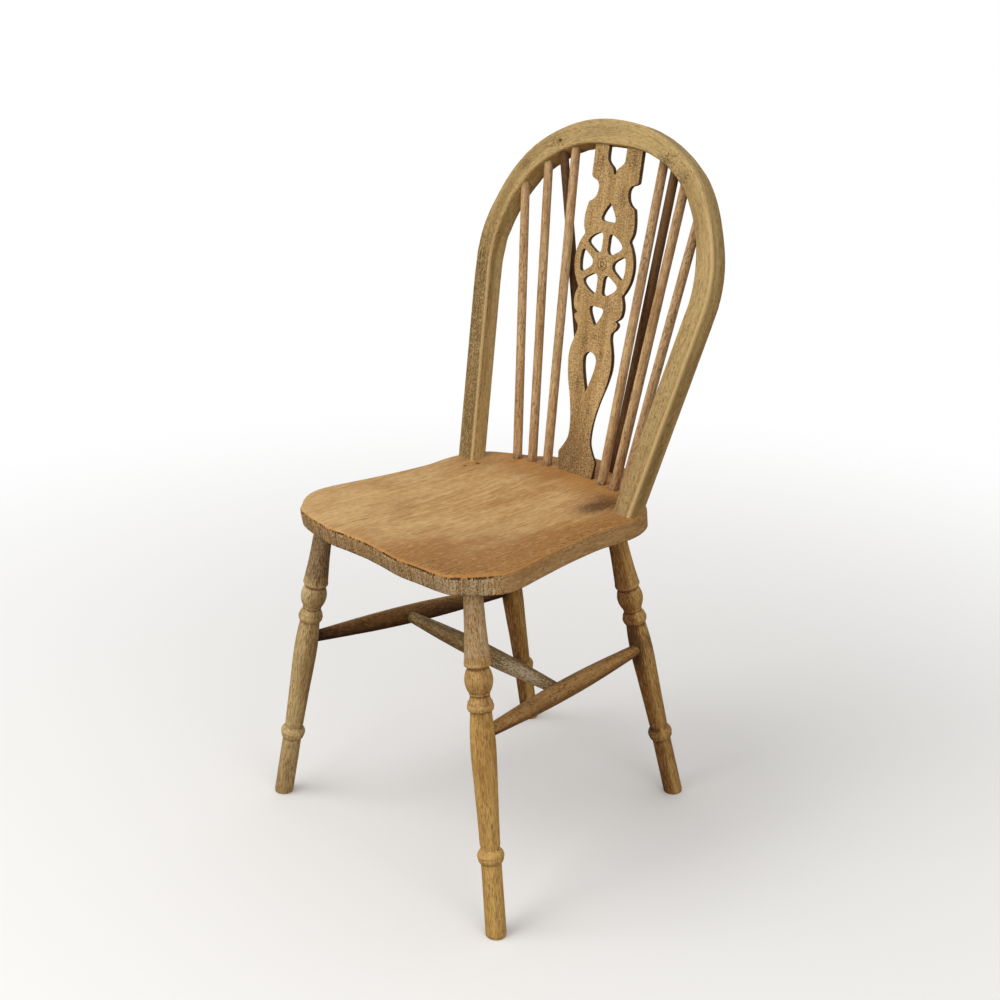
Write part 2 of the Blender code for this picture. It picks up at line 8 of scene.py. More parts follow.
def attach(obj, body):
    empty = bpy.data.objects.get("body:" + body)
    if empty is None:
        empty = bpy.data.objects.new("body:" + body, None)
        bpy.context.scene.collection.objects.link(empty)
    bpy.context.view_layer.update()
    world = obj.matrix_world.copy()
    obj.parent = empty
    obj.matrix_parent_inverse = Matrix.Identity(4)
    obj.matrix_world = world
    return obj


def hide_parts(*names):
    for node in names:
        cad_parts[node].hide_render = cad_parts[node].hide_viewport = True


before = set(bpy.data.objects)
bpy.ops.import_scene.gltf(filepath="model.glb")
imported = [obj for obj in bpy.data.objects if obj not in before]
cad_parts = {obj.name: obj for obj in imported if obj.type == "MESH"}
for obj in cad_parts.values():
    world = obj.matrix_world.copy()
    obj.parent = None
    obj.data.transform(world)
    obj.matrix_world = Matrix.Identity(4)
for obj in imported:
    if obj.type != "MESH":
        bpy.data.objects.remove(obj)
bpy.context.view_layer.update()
scene = bpy.context.scene
scene.view_settings.view_transform = "Standard"

# Camera at the photograph's angle, metres and degrees
cameraLook = {"place": (1.330, -1.2086, 1.1128), "turn": 47.68, "down": 20.60, "lens": 54.55}
camera = bpy.data.objects.new("photoCamera", bpy.data.cameras.new("photoCamera"))
camera.data.lens = cameraLook["lens"]
camera.data.sensor_width = 36
camera.location = cameraLook["place"]
camera.rotation_euler = (math.radians(90 - cameraLook["down"]), 0, math.radians(cameraLook["turn"]))
scene.collection.objects.link(camera)
scene.camera = camera


# Noise and mesh helpers
def speckle(p, seed=0):
    # random values at whole-number points, eased between them, from -1 to 1
    cell = np.floor(p).astype(np.int64)
    t = p - cell
    t = t * t * (3 - 2 * t)
    total = np.zeros(p.shape[:-1])
    for dx in (0, 1):
        for dy in (0, 1):
            for dz in (0, 1):
                n = (cell[..., 0] + dx) * 73856093 ^ (cell[..., 1] + dy) * 19349663
                n = n ^ (cell[..., 2] + dz) * 83492791 ^ (seed * 7919 + 17)
                n = ((n ^ (n >> 13)) * 1274126177) & 0xFFFFFFFF
                n = ((n ^ (n >> 15)) * 668265263) & 0xFFFFFFFF
                share = (t[..., 0] if dx else 1 - t[..., 0]) * (t[..., 1] if dy else 1 - t[..., 1])
                total += share * (t[..., 2] if dz else 1 - t[..., 2]) * ((n >> 8) & 0xFFFF)
    return total / 32767.5 - 1


def cloudy(p, seed=0, layers=3):
    # speckle at doubling scales, each half as strong
    total, size = 0, 1.0
    for layer in range(layers):
        total = total + speckle(p * 2 ** layer + 31.7 * layer, seed + layer) * size
        size *= 0.5
    return total / 1.75


def ramp(x, low, high):
    # smooth step from 0 at low to 1 at high
    t = np.clip((x - low) / (high - low), 0, 1)
    return t * t * (3 - 2 * t)


def spot(p, centre, size):
    # 1 at the centre, falling off like a bell over the size given for each axis
    return np.exp(-(((p - np.array(centre)) / np.array(size)) ** 2).sum(-1))


def bell(x, centre, width):
    # 1 at the centre, falling off on both sides of it
    return np.exp(-((x - centre) / width) ** 2)


def spread(*parts):
    # points from their coordinates, each a grid or a single number
    return np.stack(np.broadcast_arrays(*parts), -1)


def through(points, each=8):
    # Catmull-Rom line through the points
    p = np.array(points, float)
    padded = np.vstack([2 * p[0] - p[1], p, 2 * p[-1] - p[-2]])
    t = np.linspace(0, 1, each, endpoint=False)[:, None]
    runs = []
    for a, b, c, d in zip(padded, padded[1:], padded[2:], padded[3:]):
        runs.append(b + 0.5 * t * (c - a + t * (2 * a - 5 * b + 4 * c - d + t * (3 * b - a - 3 * c + d))))
    return np.vstack(runs + [p[-1:]])


def runAlong(line):
    # how far along the line each of its points is
    return np.concatenate([[0], np.cumsum(np.linalg.norm(np.diff(line, axis=0), axis=1))])


def evenly(line, count, closed=False):
    # the same line with its points spread evenly along it
    if closed:
        line = np.vstack([line, line[:1]])
    far = runAlong(line)
    at = np.linspace(0, far[-1], count, endpoint=not closed)
    return np.column_stack([np.interp(at, far, line[:, i]) for i in range(line.shape[1])])


def squareTo(loop):
    # unit vectors square to a closed loop, on the left of its run
    ahead = np.roll(loop, -1, 0) - np.roll(loop, 1, 0)
    ahead /= np.linalg.norm(ahead, axis=1)[:, None]
    return np.column_stack([-ahead[:, 1], ahead[:, 0]])


def finishMesh(name, points, faces, values, material, nodes, smoothTo=48):
    # mesh from arrays, its named values stored on its points, standing for its CAD nodes
    mesh = bpy.data.meshes.new(name)
    mesh.from_pydata(points.tolist(), [], faces)
    for key, value in values.items():
        kind = "FLOAT_VECTOR" if value.ndim == 2 else "FLOAT"
        stored = mesh.attributes.new(key, kind, "POINT")
        stored.data.foreach_set("vector" if value.ndim == 2 else "value", value.astype(np.float32).ravel())
    mesh.validate()
    mesh.calc_loop_triangles()
    corners = np.zeros(len(mesh.loop_triangles) * 3, np.int32)
    mesh.loop_triangles.foreach_get("vertices", corners)
    a, b, c = points[corners.reshape(-1, 3)].transpose(1, 0, 2)
    if np.einsum("ij,ij->", a, np.cross(b, c)) < 0:
        mesh.flip_normals()
    mesh.shade_smooth()
    mesh.set_sharp_from_angle(angle=math.radians(smoothTo))
    mesh.materials.append(material)
    piece = bpy.data.objects.new(name, mesh)
    scene.collection.objects.link(piece)
    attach(piece, "root")
    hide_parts(*nodes)


def ringQuads(rows, around, start=0):
    # quads between neighbouring rings, their points numbered ring by ring
    r = start + np.arange(rows - 1)[:, None] * around
    c = np.arange(around)
    after = (c + 1) % around
    return np.stack([r + c, r + after, r + around + after, r + around + c], -1).reshape(-1, 4)


def tubeMesh(name, rings, values, material, node):
    # a closed skin over rings (rows, around, 3), with a fan at each end
    rows, around = rings.shape[:2]
    here = np.arange(around)
    after, top = (here + 1) % around, (rows - 1) * around
    lowFan = spread(rows * around, after, here)
    highFan = spread(rows * around + 1, top + here, top + after)

    def capped(grid):
        flat = grid.reshape(rows * around, -1)
        flat = np.vstack([flat, grid[0].reshape(around, -1).mean(0), grid[-1].reshape(around, -1).mean(0)])
        return flat if grid.ndim == 3 else flat[:, 0]

    faces = ringQuads(rows, around).tolist() + lowFan.tolist() + highFan.tolist()
    stored = {}
    for key, value in values.items():
        stored[key] = capped(np.broadcast_to(value, (rows, around) + np.shape(value)[2:]))
    finishMesh(name, capped(rings), faces, stored, material, [node])


def axes(start, end):
    # along the rod, then two directions square to it
    along = (end - start) / np.linalg.norm(end - start)
    side = np.cross((0, 0, 1), along)
    side /= np.linalg.norm(side)
    return along, side, np.cross(along, side)


def outFrom(turn, across, other):
    # directions out from a rod's line, one for each turn round it
    return np.cos(turn)[None, :, None] * across + np.sin(turn)[None, :, None] * other


# Shader helpers
class Tap:
    # wraps a socket so that sums and products add Math nodes
    def __init__(self, shade, socket):
        self.shade, self.socket = shade, socket

    def join(self, kind, other, swap=False):
        a, b = (other, self) if swap else (self, other)
        return self.shade.add("ShaderNodeMath", {"operation": kind}, {0: a, 1: b})

    def __add__(self, other):
        return self.join("ADD", other)

    def __mul__(self, other):
        return self.join("MULTIPLY", other)

    def __sub__(self, other):
        return self.join("SUBTRACT", other)

    def __rsub__(self, other):
        return self.join("SUBTRACT", other, True)

    __radd__, __rmul__ = __add__, __mul__


class Shade:
    # a material and the nodes that are added to it
    def __init__(self, name):
        self.material = bpy.data.materials.new(name)
        self.material.use_nodes = True
        self.nodes = self.material.node_tree.nodes
        self.links = self.material.node_tree.links
        self.surface = self.nodes["Principled BSDF"]

    def add(self, kind, settings=None, sockets=None, out=0):
        # a node of this kind: its settings first, then the values or links of its sockets
        node = self.nodes.new(kind)
        for key, value in (settings or {}).items():
            setattr(node, key, value)
        for key, value in (sockets or {}).items():
            if isinstance(value, Tap):
                self.links.new(value.socket, node.inputs[key])
            else:
                node.inputs[key].default_value = value
        return Tap(self, node.outputs[out])

    def value(self, name):
        return self.add("ShaderNodeAttribute", {"attribute_name": name}, out="Fac")

    def place(self, name):
        return self.add("ShaderNodeAttribute", {"attribute_name": name}, out="Vector")

    def noise(self, at, scale, detail=2, rough=0.5, shift=(0, 0, 0)):
        # cloud noise on a place that is scaled, then shifted
        at = self.add("ShaderNodeMapping", {}, {"Vector": at, "Scale": scale, "Location": shift})
        sockets = {"Vector": at, "Scale": 1.0, "Detail": detail, "Roughness": rough}
        return self.add("ShaderNodeTexNoise", {}, sockets, "Fac")

    def step(self, x, low, high):
        # smooth step between two values
        return self.add("ShaderNodeMapRange", {"interpolation_type": "SMOOTHSTEP"},
                        {"Value": x, "From Min": low, "From Max": high})

    def mix(self, share, a, b):
        return self.add("ShaderNodeMix", {"data_type": "RGBA", "clamp_factor": True},
                        {0: share, 6: a, 7: b}, 2)

    def feed(self, name, tap):
        self.links.new(tap.socket, self.surface.inputs[name])


def tint(r, g, b):
    # a colour written as it looks on the screen, 0 to 255
    def one(v):
        v /= 255
        return v / 12.92 if v <= 0.04045 else ((v + 0.055) / 1.055) ** 2.4
    return (one(r), one(g), one(b), 1)


# Woods: what every one has, and below it what each changes
plainLook = {
    # the stain and grime colours also paint shade, and the chalk and wear colours also paint light
    "deep": tint(146, 112, 66), "pale": tint(196, 160, 106), "stain": tint(140, 98, 66),
    "light": tint(212, 184, 138), "bands": 70, "bandLength": 0.05, "bandPull": 1.0, "tonePull": 0.34,
    "patchPull": 0.30, "patchScale": (26, 26, 13), "fibre": 520, "fibreLength": 0.05, "fibreShare": 0.38,
    "fibreColour": tint(112, 80, 44), "weave": 420, "weaveLength": 0.30, "weaveShare": 0.34,
    "rayScale": (480, 480, 110), "rayAt": 0.55, "rayShare": 0.34, "rayColour": tint(104, 72, 38),
    "poreScale": (560, 560, 190), "poreAt": 0.55, "poreShare": 0.62, "poreColour": tint(70, 44, 22),
    "chalkScale": (760, 760, 260), "chalkShare": 0.62, "chalk": tint(214, 196, 164),
    "wear": tint(214, 176, 114), "wearShare": 0.55, "grime": tint(58, 38, 20), "grimeShare": 0.85,
    "rough": 0.66, "bump": 0.75,
}


def weatheredWood(name, **changes):
    # colour: long bands, then stain with painted shade, fibres, mottling, ray flecks, dark pores, residue
    # with painted light, rubbing with painted light and highlights, and grime with painted shade
    look = {**plainLook, **changes}
    shade = Shade(name)
    at = shade.place("grainAt")
    tone, grime, wear = shade.value("tone"), shade.value("grime"), shade.value("wear")
    flecked, chalk, stain = shade.value("flecked"), shade.value("chalk"), shade.value("stain")
    wide, thin, weave = look["bands"], look["fibre"], look["weave"]
    bands = shade.noise(at, (wide, wide, wide * look["bandLength"]), 3, 0.55)
    fibre = shade.noise(at, (thin, thin, thin * look["fibreLength"]), 3, 0.65)
    mottle = shade.noise(at, (weave, weave, weave * look["weaveLength"]), 3, 0.6, (0.7, 2.9, 5.3))
    ray = shade.noise(at, look["rayScale"], 2, 0.6, (3.1, 1.7, 0.4))
    pore = shade.noise(at, look["poreScale"], 2, 0.6, (8.3, 5.1, 2.2))
    patch = shade.noise(at, look["patchScale"], 3, 0.55, (1.3, 9.1, 4.2)) - 0.5
    residue = shade.noise(at, look["chalkScale"], 2, 0.6, (2.2, 7.7, 1.1))
    level = (bands - 0.5) * look["bandPull"] + tone * look["tonePull"] + patch * look["patchPull"]
    rays = shade.step(ray + (flecked - 0.5) * 0.12, look["rayAt"], look["rayAt"] + 0.07)
    pores = shade.step(pore + (flecked - 0.5) * 0.34 + patch * 0.30, look["poreAt"], look["poreAt"] + 0.08)
    chalked = shade.step(residue + chalk * 0.36, 0.66, 0.80)
    # this mask lightens for wear and also for painted light: lit sides of parts and highlights on their edges
    rubbed = shade.step(wear + (fibre - 0.5) * 0.8 + patch * 0.5, 0.35, 0.85)
    # this mask darkens for dirt and also for painted shade: grooves, shaded sides and where parts meet
    dusty = shade.step(grime + patch * 0.5 + (ray - 0.5) * 0.9 + (mottle - 0.5) * 0.5, 0.30, 0.95)
    base = shade.mix(shade.step(level, -0.2, 0.2), look["deep"], look["pale"])
    for share, colour in (
            (stain, "stain"), (shade.step(fibre, 0.46, 0.64) * look["fibreShare"], "fibreColour"),
            (shade.step(mottle, 0.50, 0.62) * look["weaveShare"], "fibreColour"),
            (shade.step(mottle, 0.47, 0.36) * look["weaveShare"], "light"),
            (rays * look["rayShare"], "rayColour"), (pores * look["poreShare"], "poreColour"),
            (chalked * look["chalkShare"], "chalk"), (rubbed * look["wearShare"], "wear"),
            (dusty * look["grimeShare"], "grime")):
        base = shade.mix(share, base, look[colour])
    height = fibre * 0.6 + mottle * 0.5 + ray * 0.3 - pores * 0.8 + chalked * 0.2
    bump = shade.add("ShaderNodeBump", {}, {"Strength": look["bump"], "Distance": 0.0007, "Height": height})
    shade.feed("Base Color", base)
    shade.feed("Roughness", look["rough"] + (fibre - 0.5) * 0.2 + pores * 0.10 - rubbed * 0.08)
    shade.feed("Normal", bump)
    shade.surface.inputs["Specular IOR Level"].default_value = 0.25
    return shade.material


turnedLook = {
    "rayAt": 0.53, "poreScale": (1000, 1000, 110), "bandLength": 0.10, "fibre": 700,
    "grime": tint(78, 50, 24), "grimeShare": 0.75, "weave": 560, "weaveLength": 0.16,
    "chalkScale": (1100, 1100, 210),
}
legWood = weatheredWood(
    "legWood", **turnedLook, deep=tint(162, 110, 46), pale=tint(220, 176, 98), stain=tint(150, 106, 66),
    rayScale=(900, 900, 60), rayShare=0.20, poreShare=0.42, fibreShare=0.34)
paleLegWood = weatheredWood(
    "paleLegWood", **turnedLook, deep=tint(166, 132, 80), pale=tint(222, 192, 134), stain=tint(128, 90, 58),
    rayScale=(800, 800, 60), rayShare=0.22)
seatWood = weatheredWood(
    "seatWood", deep=tint(168, 118, 62), pale=tint(212, 174, 118), stain=tint(104, 66, 44),
    light=tint(224, 194, 132), bands=150, bandLength=0.014, bandPull=0.26, patchPull=0.46, fibre=640,
    fibreLength=0.022, fibreShare=0.34, fibreColour=tint(140, 98, 54), weave=300, weaveShare=0.24,
    rayShare=0.50, rayScale=(700, 700, 26), rayAt=0.59, poreScale=(760, 760, 150), poreShare=0.6, poreAt=0.62,
    wear=tint(198, 140, 70), wearShare=0.60, bump=0.5)
bowWood = weatheredWood(
    "bowWood", deep=tint(152, 122, 70), pale=tint(198, 168, 110), stain=tint(116, 84, 62), weaveShare=0.22,
    fibreShare=0.32, fibre=760, fibreColour=tint(116, 88, 48), poreScale=(760, 760, 260), poreAt=0.57,
    wear=tint(214, 182, 124), wearShare=0.70)
splatWood = weatheredWood(
    "splatWood", deep=tint(178, 140, 82), pale=tint(220, 182, 122), poreScale=(760, 760, 520), poreAt=0.53,
    rayScale=(300, 300, 700), rayShare=0.45, weave=330, weaveLength=1.3, weaveShare=0.44, fibreShare=0.30,
    grime=tint(50, 32, 16))
stickWood = weatheredWood(
    "stickWood", deep=tint(184, 142, 92), pale=tint(238, 204, 150), stain=tint(172, 126, 94), bandLength=0.10,
    weaveLength=0.16, fibre=760, fibreShare=0.30, poreShare=0.5, rayShare=0.26)
rodWood = weatheredWood(
    "rodWood", deep=tint(120, 82, 38), pale=tint(208, 160, 92), stain=tint(108, 62, 28),
    light=tint(160, 120, 72), fibre=760, rayScale=(800, 800, 90), grime=tint(46, 26, 10), grimeShare=0.9)
braceWood = weatheredWood(
    "braceWood", deep=tint(84, 56, 32), pale=tint(134, 98, 60), stain=tint(66, 42, 26),
    light=tint(140, 104, 66), chalk=tint(146, 114, 78))
crossWood = weatheredWood(
    "crossWood", deep=tint(122, 98, 58), pale=tint(182, 154, 102), stain=tint(92, 62, 38), fibre=760,
    grime=tint(56, 36, 20))
print("woods made")

# The chair's own sizes, as the solids have them, in metres: x to the right, y to the back
chairPlan = {
    "seatTop": 0.440, "seatThick": 0.025, "plan": 0.0130,
    "bowLine": 0.0569, "bowLean": math.radians(15.88), "bowDepth": 0.022,
    "splatLine": 0.1215, "splatLean": math.radians(8.135), "splatRack": math.atan(0.018),
    "stickFeet": ((0.0510, 0.1218), (0.0764, 0.1184), (0.0985, 0.1115)),
}
seatTop = chairPlan["seatTop"]
planY = chairPlan["plan"]
cameraLeft = np.array((-0.67, -0.74, 0))

# Legs
legLook = {
    "front": ((0.1408, -0.1814), (0.2186, -0.2157)), "rear": ((0.1102, 0.0821), (0.1443, 0.1817)),
    "under": 0.415, "turnedOver": 0.4148, "tenon": 0.0165, "rows": 420, "around": 72,
    "bead": 0.16, "ball": 0.0038, "cove": 0.12, "dents": (0.00022, 0.00012),
}
# height and radius in millimetres; a word says what swells or hollows the stretch up to the next point
turning = [
    (0, 11.6), (1.2, 12.5), (60, 12.35), (86.5, 12.2), (88.2, 12.2), (88.6, 12.9, "bead"), (95.9, 15),
    (96.4, 15.7, "bead"), (103.4, 13.2), (104.2, 12.35, "cove"), (110, 12), (157, 13.15), (188, 14.15),
    (212, 14.95), (231, 15.05), (248, 14.35), (263.5, 13), (269.6, 12.7), (270.4, 13.9, "bead"),
    (277.2, 15.1), (281.4, 14.3), (281.9, 13.7, "cove"), (286.4, 12.2), (287, 11.1), (288.4, 11.1),
    (288.9, 11.9, "bead"), (291.3, 11.9), (292, 12.5, "ball"), (319.3, 13.1), (319.9, 12.5), (322.6, 12.6),
    (323, 15.3, "bead"), (326.4, 15.7), (327.2, 15.6, "cone"), (383, 12.25), (401, 11.4), (414.8, 11.25),
    (432, 11.25),
]


def turnedRadius(height):
    # radius at a height: straight between the stops, with beads and a ball that swell, coves and a full cone
    stops = np.array([row[:2] for row in turning]) * 0.001
    i = np.clip(np.searchsorted(stops[:, 0], height, side="right") - 1, 0, len(stops) - 2)
    kinds = np.array([(*row, "line")[2] for row in turning])[i]
    low, high = stops[i], stops[i + 1]
    span, step = high[:, 0] - low[:, 0], high[:, 1] - low[:, 1]
    t = (height - low[:, 0]) / span
    swell = np.sqrt(np.clip(t * (1 - t), 0, 1)) * 2
    radius = low[:, 1] + step * t
    radius = np.where(kinds == "bead", radius + span * legLook["bead"] * swell, radius)
    radius = np.where(kinds == "ball", radius + legLook["ball"] * np.sin(np.pi * t) ** 0.8, radius)
    radius = np.where(kinds == "cove", radius - span * legLook["cove"] * swell, radius)
    return np.where(kinds == "cone", low[:, 1] + step * (1 - (1 - t) ** 1.5), radius)


def legLine(place, side):
    # from the middle of the foot to the middle of the top, just under the seat
    top, foot = legLook[place]
    start = np.array((side * foot[0], foot[1] + planY, 0.0))
    return start, np.array((side * top[0], top[1] + planY, legLook["under"]))


def legPiece(place, side, seed, look, wood):
    # a lathe skin: radius of height, cut level at the floor, then dented and checked along the grain
    start, end = legLine(place, side)
    along, across, other = axes(start, end)
    stretch = np.linalg.norm(end - start) / legLook["turnedOver"]
    dense = np.linspace(0, legLook["turnedOver"] + legLook["tenon"], 4000)
    bend = np.abs(np.gradient(turnedRadius(dense), dense))
    weight = np.cumsum(1 + 3.0 * np.clip(bend, 0, 4))
    height = np.interp(np.linspace(weight[0], weight[-1], legLook["rows"]), weight, dense)
    radius = turnedRadius(height)
    turn = np.linspace(0, 2 * np.pi, legLook["around"], endpoint=False)
    r = np.repeat(radius[:, None], len(turn), 1)
    h = np.repeat((height * stretch)[:, None], len(turn), 1)
    local = spread(r * np.cos(turn), r * np.sin(turn), h)
    slowDent, fineDent = legLook["dents"]
    dent = slowDent * cloudy(local * (60, 60, 14), seed)
    r = r + dent + fineDent * cloudy(local * (260, 260, 30), seed + 5)
    r = r * (1 + 0.006 * np.cos(2 * turn + seed))
    points = start + h[..., None] * along + r[..., None] * outFrom(turn, across, other)
    # every point below the floor slides up its own line to it
    slide = np.where((points[..., 2] < 0) | (height < 0.00001)[:, None], -points[..., 2] / along[2], 0)
    points = points + slide[..., None] * along
    # grooves get dirt and painted shade, and the undersides of swellings, where the radius grows with height,
    # get painted shade
    hollow = np.convolve(np.pad(radius, 12, mode="edge"), np.ones(25) / 25, "valid") - radius
    grime = 0.75 * ramp(hollow, 0.0002, 0.0016) + 0.35 * ramp(np.gradient(radius, height), 0.5, 2.0)
    facing = (points - start - h[..., None] * along) / r[..., None]
    values = look(height[:, None], facing, points, seed)
    values["grime"] = values.get("grime", 0) + grime[:, None]
    values["wear"] = values.get("wear", 0) + 0.5 * ramp(-hollow, 0.0002, 0.0012)[:, None]
    values["grainAt"] = local + (seed * 0.37, seed * 0.91, seed * 0.53)
    name = f"leg_{place}_" + ("left" if side < 0 else "right")
    tubeMesh(name + "_turned", points, values, wood, name)


def nearLeg(h, facing, points, seed):
    # golden shank, browner ball and neck with pale flecks, its left side lighter with painted light
    neck = ramp(h, 0.322, 0.340)
    left = ramp(facing @ cameraLeft, -0.2, 0.7)
    ball = ramp(h, 0.268, 0.278) * (1 - neck)
    return {"tone": 0.35 * (1 - neck) + 0.30 * neck + 0.10 * cloudy(points * 16, seed),
            "stain": 0.38 * neck + 0.35 * ball, "chalk": 0.60 * neck + 0.15 * ball,
            "flecked": 0.42 + 0.12 * neck, "wear": 0.10 + 0.15 * left}


def leftLeg(h, facing, points, seed):
    # greyer, with a purplish neck and white residue on the ball
    neck = ramp(h, 0.322, 0.345)
    ball = bell(h, 0.311, 0.010) * ramp(facing[..., 2] + 0.2, 0.1, 0.5)
    return {"tone": 0.25 - 0.45 * neck + 0.12 * cloudy(points * 14, seed), "stain": 0.55 * neck,
            "chalk": 0.25 + 0.25 * neck + 0.75 * ball, "flecked": 0.40 + 0.15 * neck, "wear": 0.0}


def rearLeg(h, facing, points, seed):
    # brown; the side away from the light, which faces left in view, gets painted shade with dark streaks,
    # more stain and flecks, and the other side pale residue as painted light
    shade = ramp(facing @ cameraLeft, -0.35, 0.35)
    streak = ramp(cloudy(points * (70, 70, 9), seed + 3), -0.1, 0.5)
    return {"tone": 0.20 - 0.85 * shade + 0.12 * cloudy(points * 14, seed), "stain": 0.15 + 0.25 * shade,
            "chalk": 0.18 * (1 - shade), "flecked": 0.45 + 0.25 * shade,
            "grime": shade * (0.30 + 0.45 * streak) + 0.70 * bell(h, 0.243, 0.030)}


legPiece("front", 1, 1, nearLeg, legWood)
legPiece("front", -1, 2, leftLeg, paleLegWood)
legPiece("rear", 1, 3, rearLeg, legWood)
legPiece("rear", -1, 4, rearLeg, legWood)
print("legs turned")

# Seat
seatLook = {
    "plan": (
        (0.000, -0.2285), (0.035, -0.2305), (0.065, -0.2330), (0.100, -0.2300), (0.128, -0.2276),
        (0.146, -0.2227), (0.160, -0.2080), (0.173, -0.1900), (0.1815, -0.1690), (0.1822, -0.1450),
        (0.1760, -0.1080), (0.1685, -0.0620), (0.1638, -0.0200), (0.1625, 0.0080), (0.1655, 0.0420),
        (0.1620, 0.0740), (0.1480, 0.1025), (0.1200, 0.1220), (0.0900, 0.1378), (0.0730, 0.1540),
    ),
    "tail": ((0.0730, 0.1540), (0.0540, 0.1610), (0.0400, 0.1710), (0.0300, 0.1915)),
    "middle": (0.0, -0.030), "around": 960, "girth": 1.344, "rim": 0.0046, "undercut": 0.005, "flare": 0.0035,
    "wornCorner": (-0.150, -0.222), "cornerLoss": 0.0055, "dish": 0.006, "dishBack": 0.110,
    # the brace foot given here, on both sides, also gets painted shade on the seat round it
    "lowRim": 0.0022, "dents": (0.00042, 0.00012), "nick": 0.0016, "braceDirt": (0.0185, 0.1680),
    "blots": ((1.0, (0.104, 0.051), (0.016, 0.024)), (0.5, (0.100, 0.090), (0.030, 0.020))),
    "dots": (((-0.123, 0.037), (0.003, 0.005)), ((-0.118, 0.056), (0.0055, 0.003))),
}


def seatTopDrop(x, y):
    # a bowl of cosine shape that levels out at the rim and before the sticks
    out = np.hypot(x / 0.165, (y + 0.065) / 0.150)
    bowl = np.cos(np.clip(out, 0, 1) * np.pi / 2) ** 1.5
    return seatLook["dish"] * bowl * ramp((seatLook["dishBack"] - y) / 0.08, 0, 1)


def seatPlan():
    # the outline as one loop with its worn corner, closer points at the front, and each point's way round
    half = np.vstack([through(seatLook["plan"])[:-1], through(seatLook["tail"])])
    left = half[:0:-1] * (-1, 1)
    worn = spot(left, seatLook["wornCorner"], (0.035, 0.035))
    left = left + seatLook["cornerLoss"] * worn[:, None] * -cameraLeft[:2]
    dense = evenly(np.vstack([half, left]), 6000, True)
    weight = np.cumsum(1 + 2.6 * ramp(-dense[:, 1], 0.16, 0.20))
    share = np.linspace(0, weight[-1], seatLook["around"], endpoint=False)
    run = np.interp(share, weight, np.arange(6000)) * seatLook["girth"] / 6000
    return np.column_stack([np.interp(share, weight, dense[:, i]) for i in (0, 1)]), run


def seatSkin(plan, run, inward, endGrain, pits):
    # rings of the plan shrunk to its middle for the top, then set in from its edge for rim, side and base
    thick, rim, low = chairPlan["seatThick"], seatLook["rim"], seatLook["lowRim"]
    middle = np.array(seatLook["middle"])
    lean = seatLook["undercut"] * ramp(-plan[:, 1], 0.17, 0.22) - seatLook["flare"] * inward[:, 0] ** 2
    turn = np.linspace(0, np.pi / 2, 9)
    profile = [(rim * (1 - math.sin(a)), rim * (1 - math.cos(a))) for a in turn]
    profile += [(0.0, d) for d in np.linspace(rim, thick - low, 16)[1:]]
    profile += [(low * (1 - math.cos(a)), thick - low * (1 - math.sin(a))) for a in turn[1:]]
    profile += [(low + d, thick) for d in (0.002, 0.005, 0.010)]
    shares = np.concatenate([np.linspace(0.015, 0.90, 40), np.linspace(0.912, 0.96, 6)])
    rows = [middle + share * (plan - middle) for share in shares]
    drops = [0.0] * len(rows)
    coarse, fine = seatLook["dents"]
    for inset, drop in profile:
        p = spread(run * 700, 2.2, drop * 90)
        rough = coarse * cloudy(p, 9, 2) * endGrain + fine * cloudy(p * (0.3, 1, 2), 12, 2)
        rough = rough * ramp(drop, 0.0005, 0.004) * ramp(thick + 0.0005 - drop, 0, 0.001)
        under = seatLook["nick"] * pits * ramp(drop, 0.0012, 0.0028) * ramp(0.0075 - drop, 0, 0.004)
        inset = inset + lean * drop / thick + np.clip(rough, -0.0003, 1) + under
        rows.append(plan + inward * inset[:, None])
        drops.append(drop)
    for share in (0.88, 0.7, 0.5, 0.3, 0.1):
        rows.append(middle + share * (plan - middle))
        drops.append(thick)
    return np.array(rows), np.array(drops)[:, None] * np.ones(len(plan))


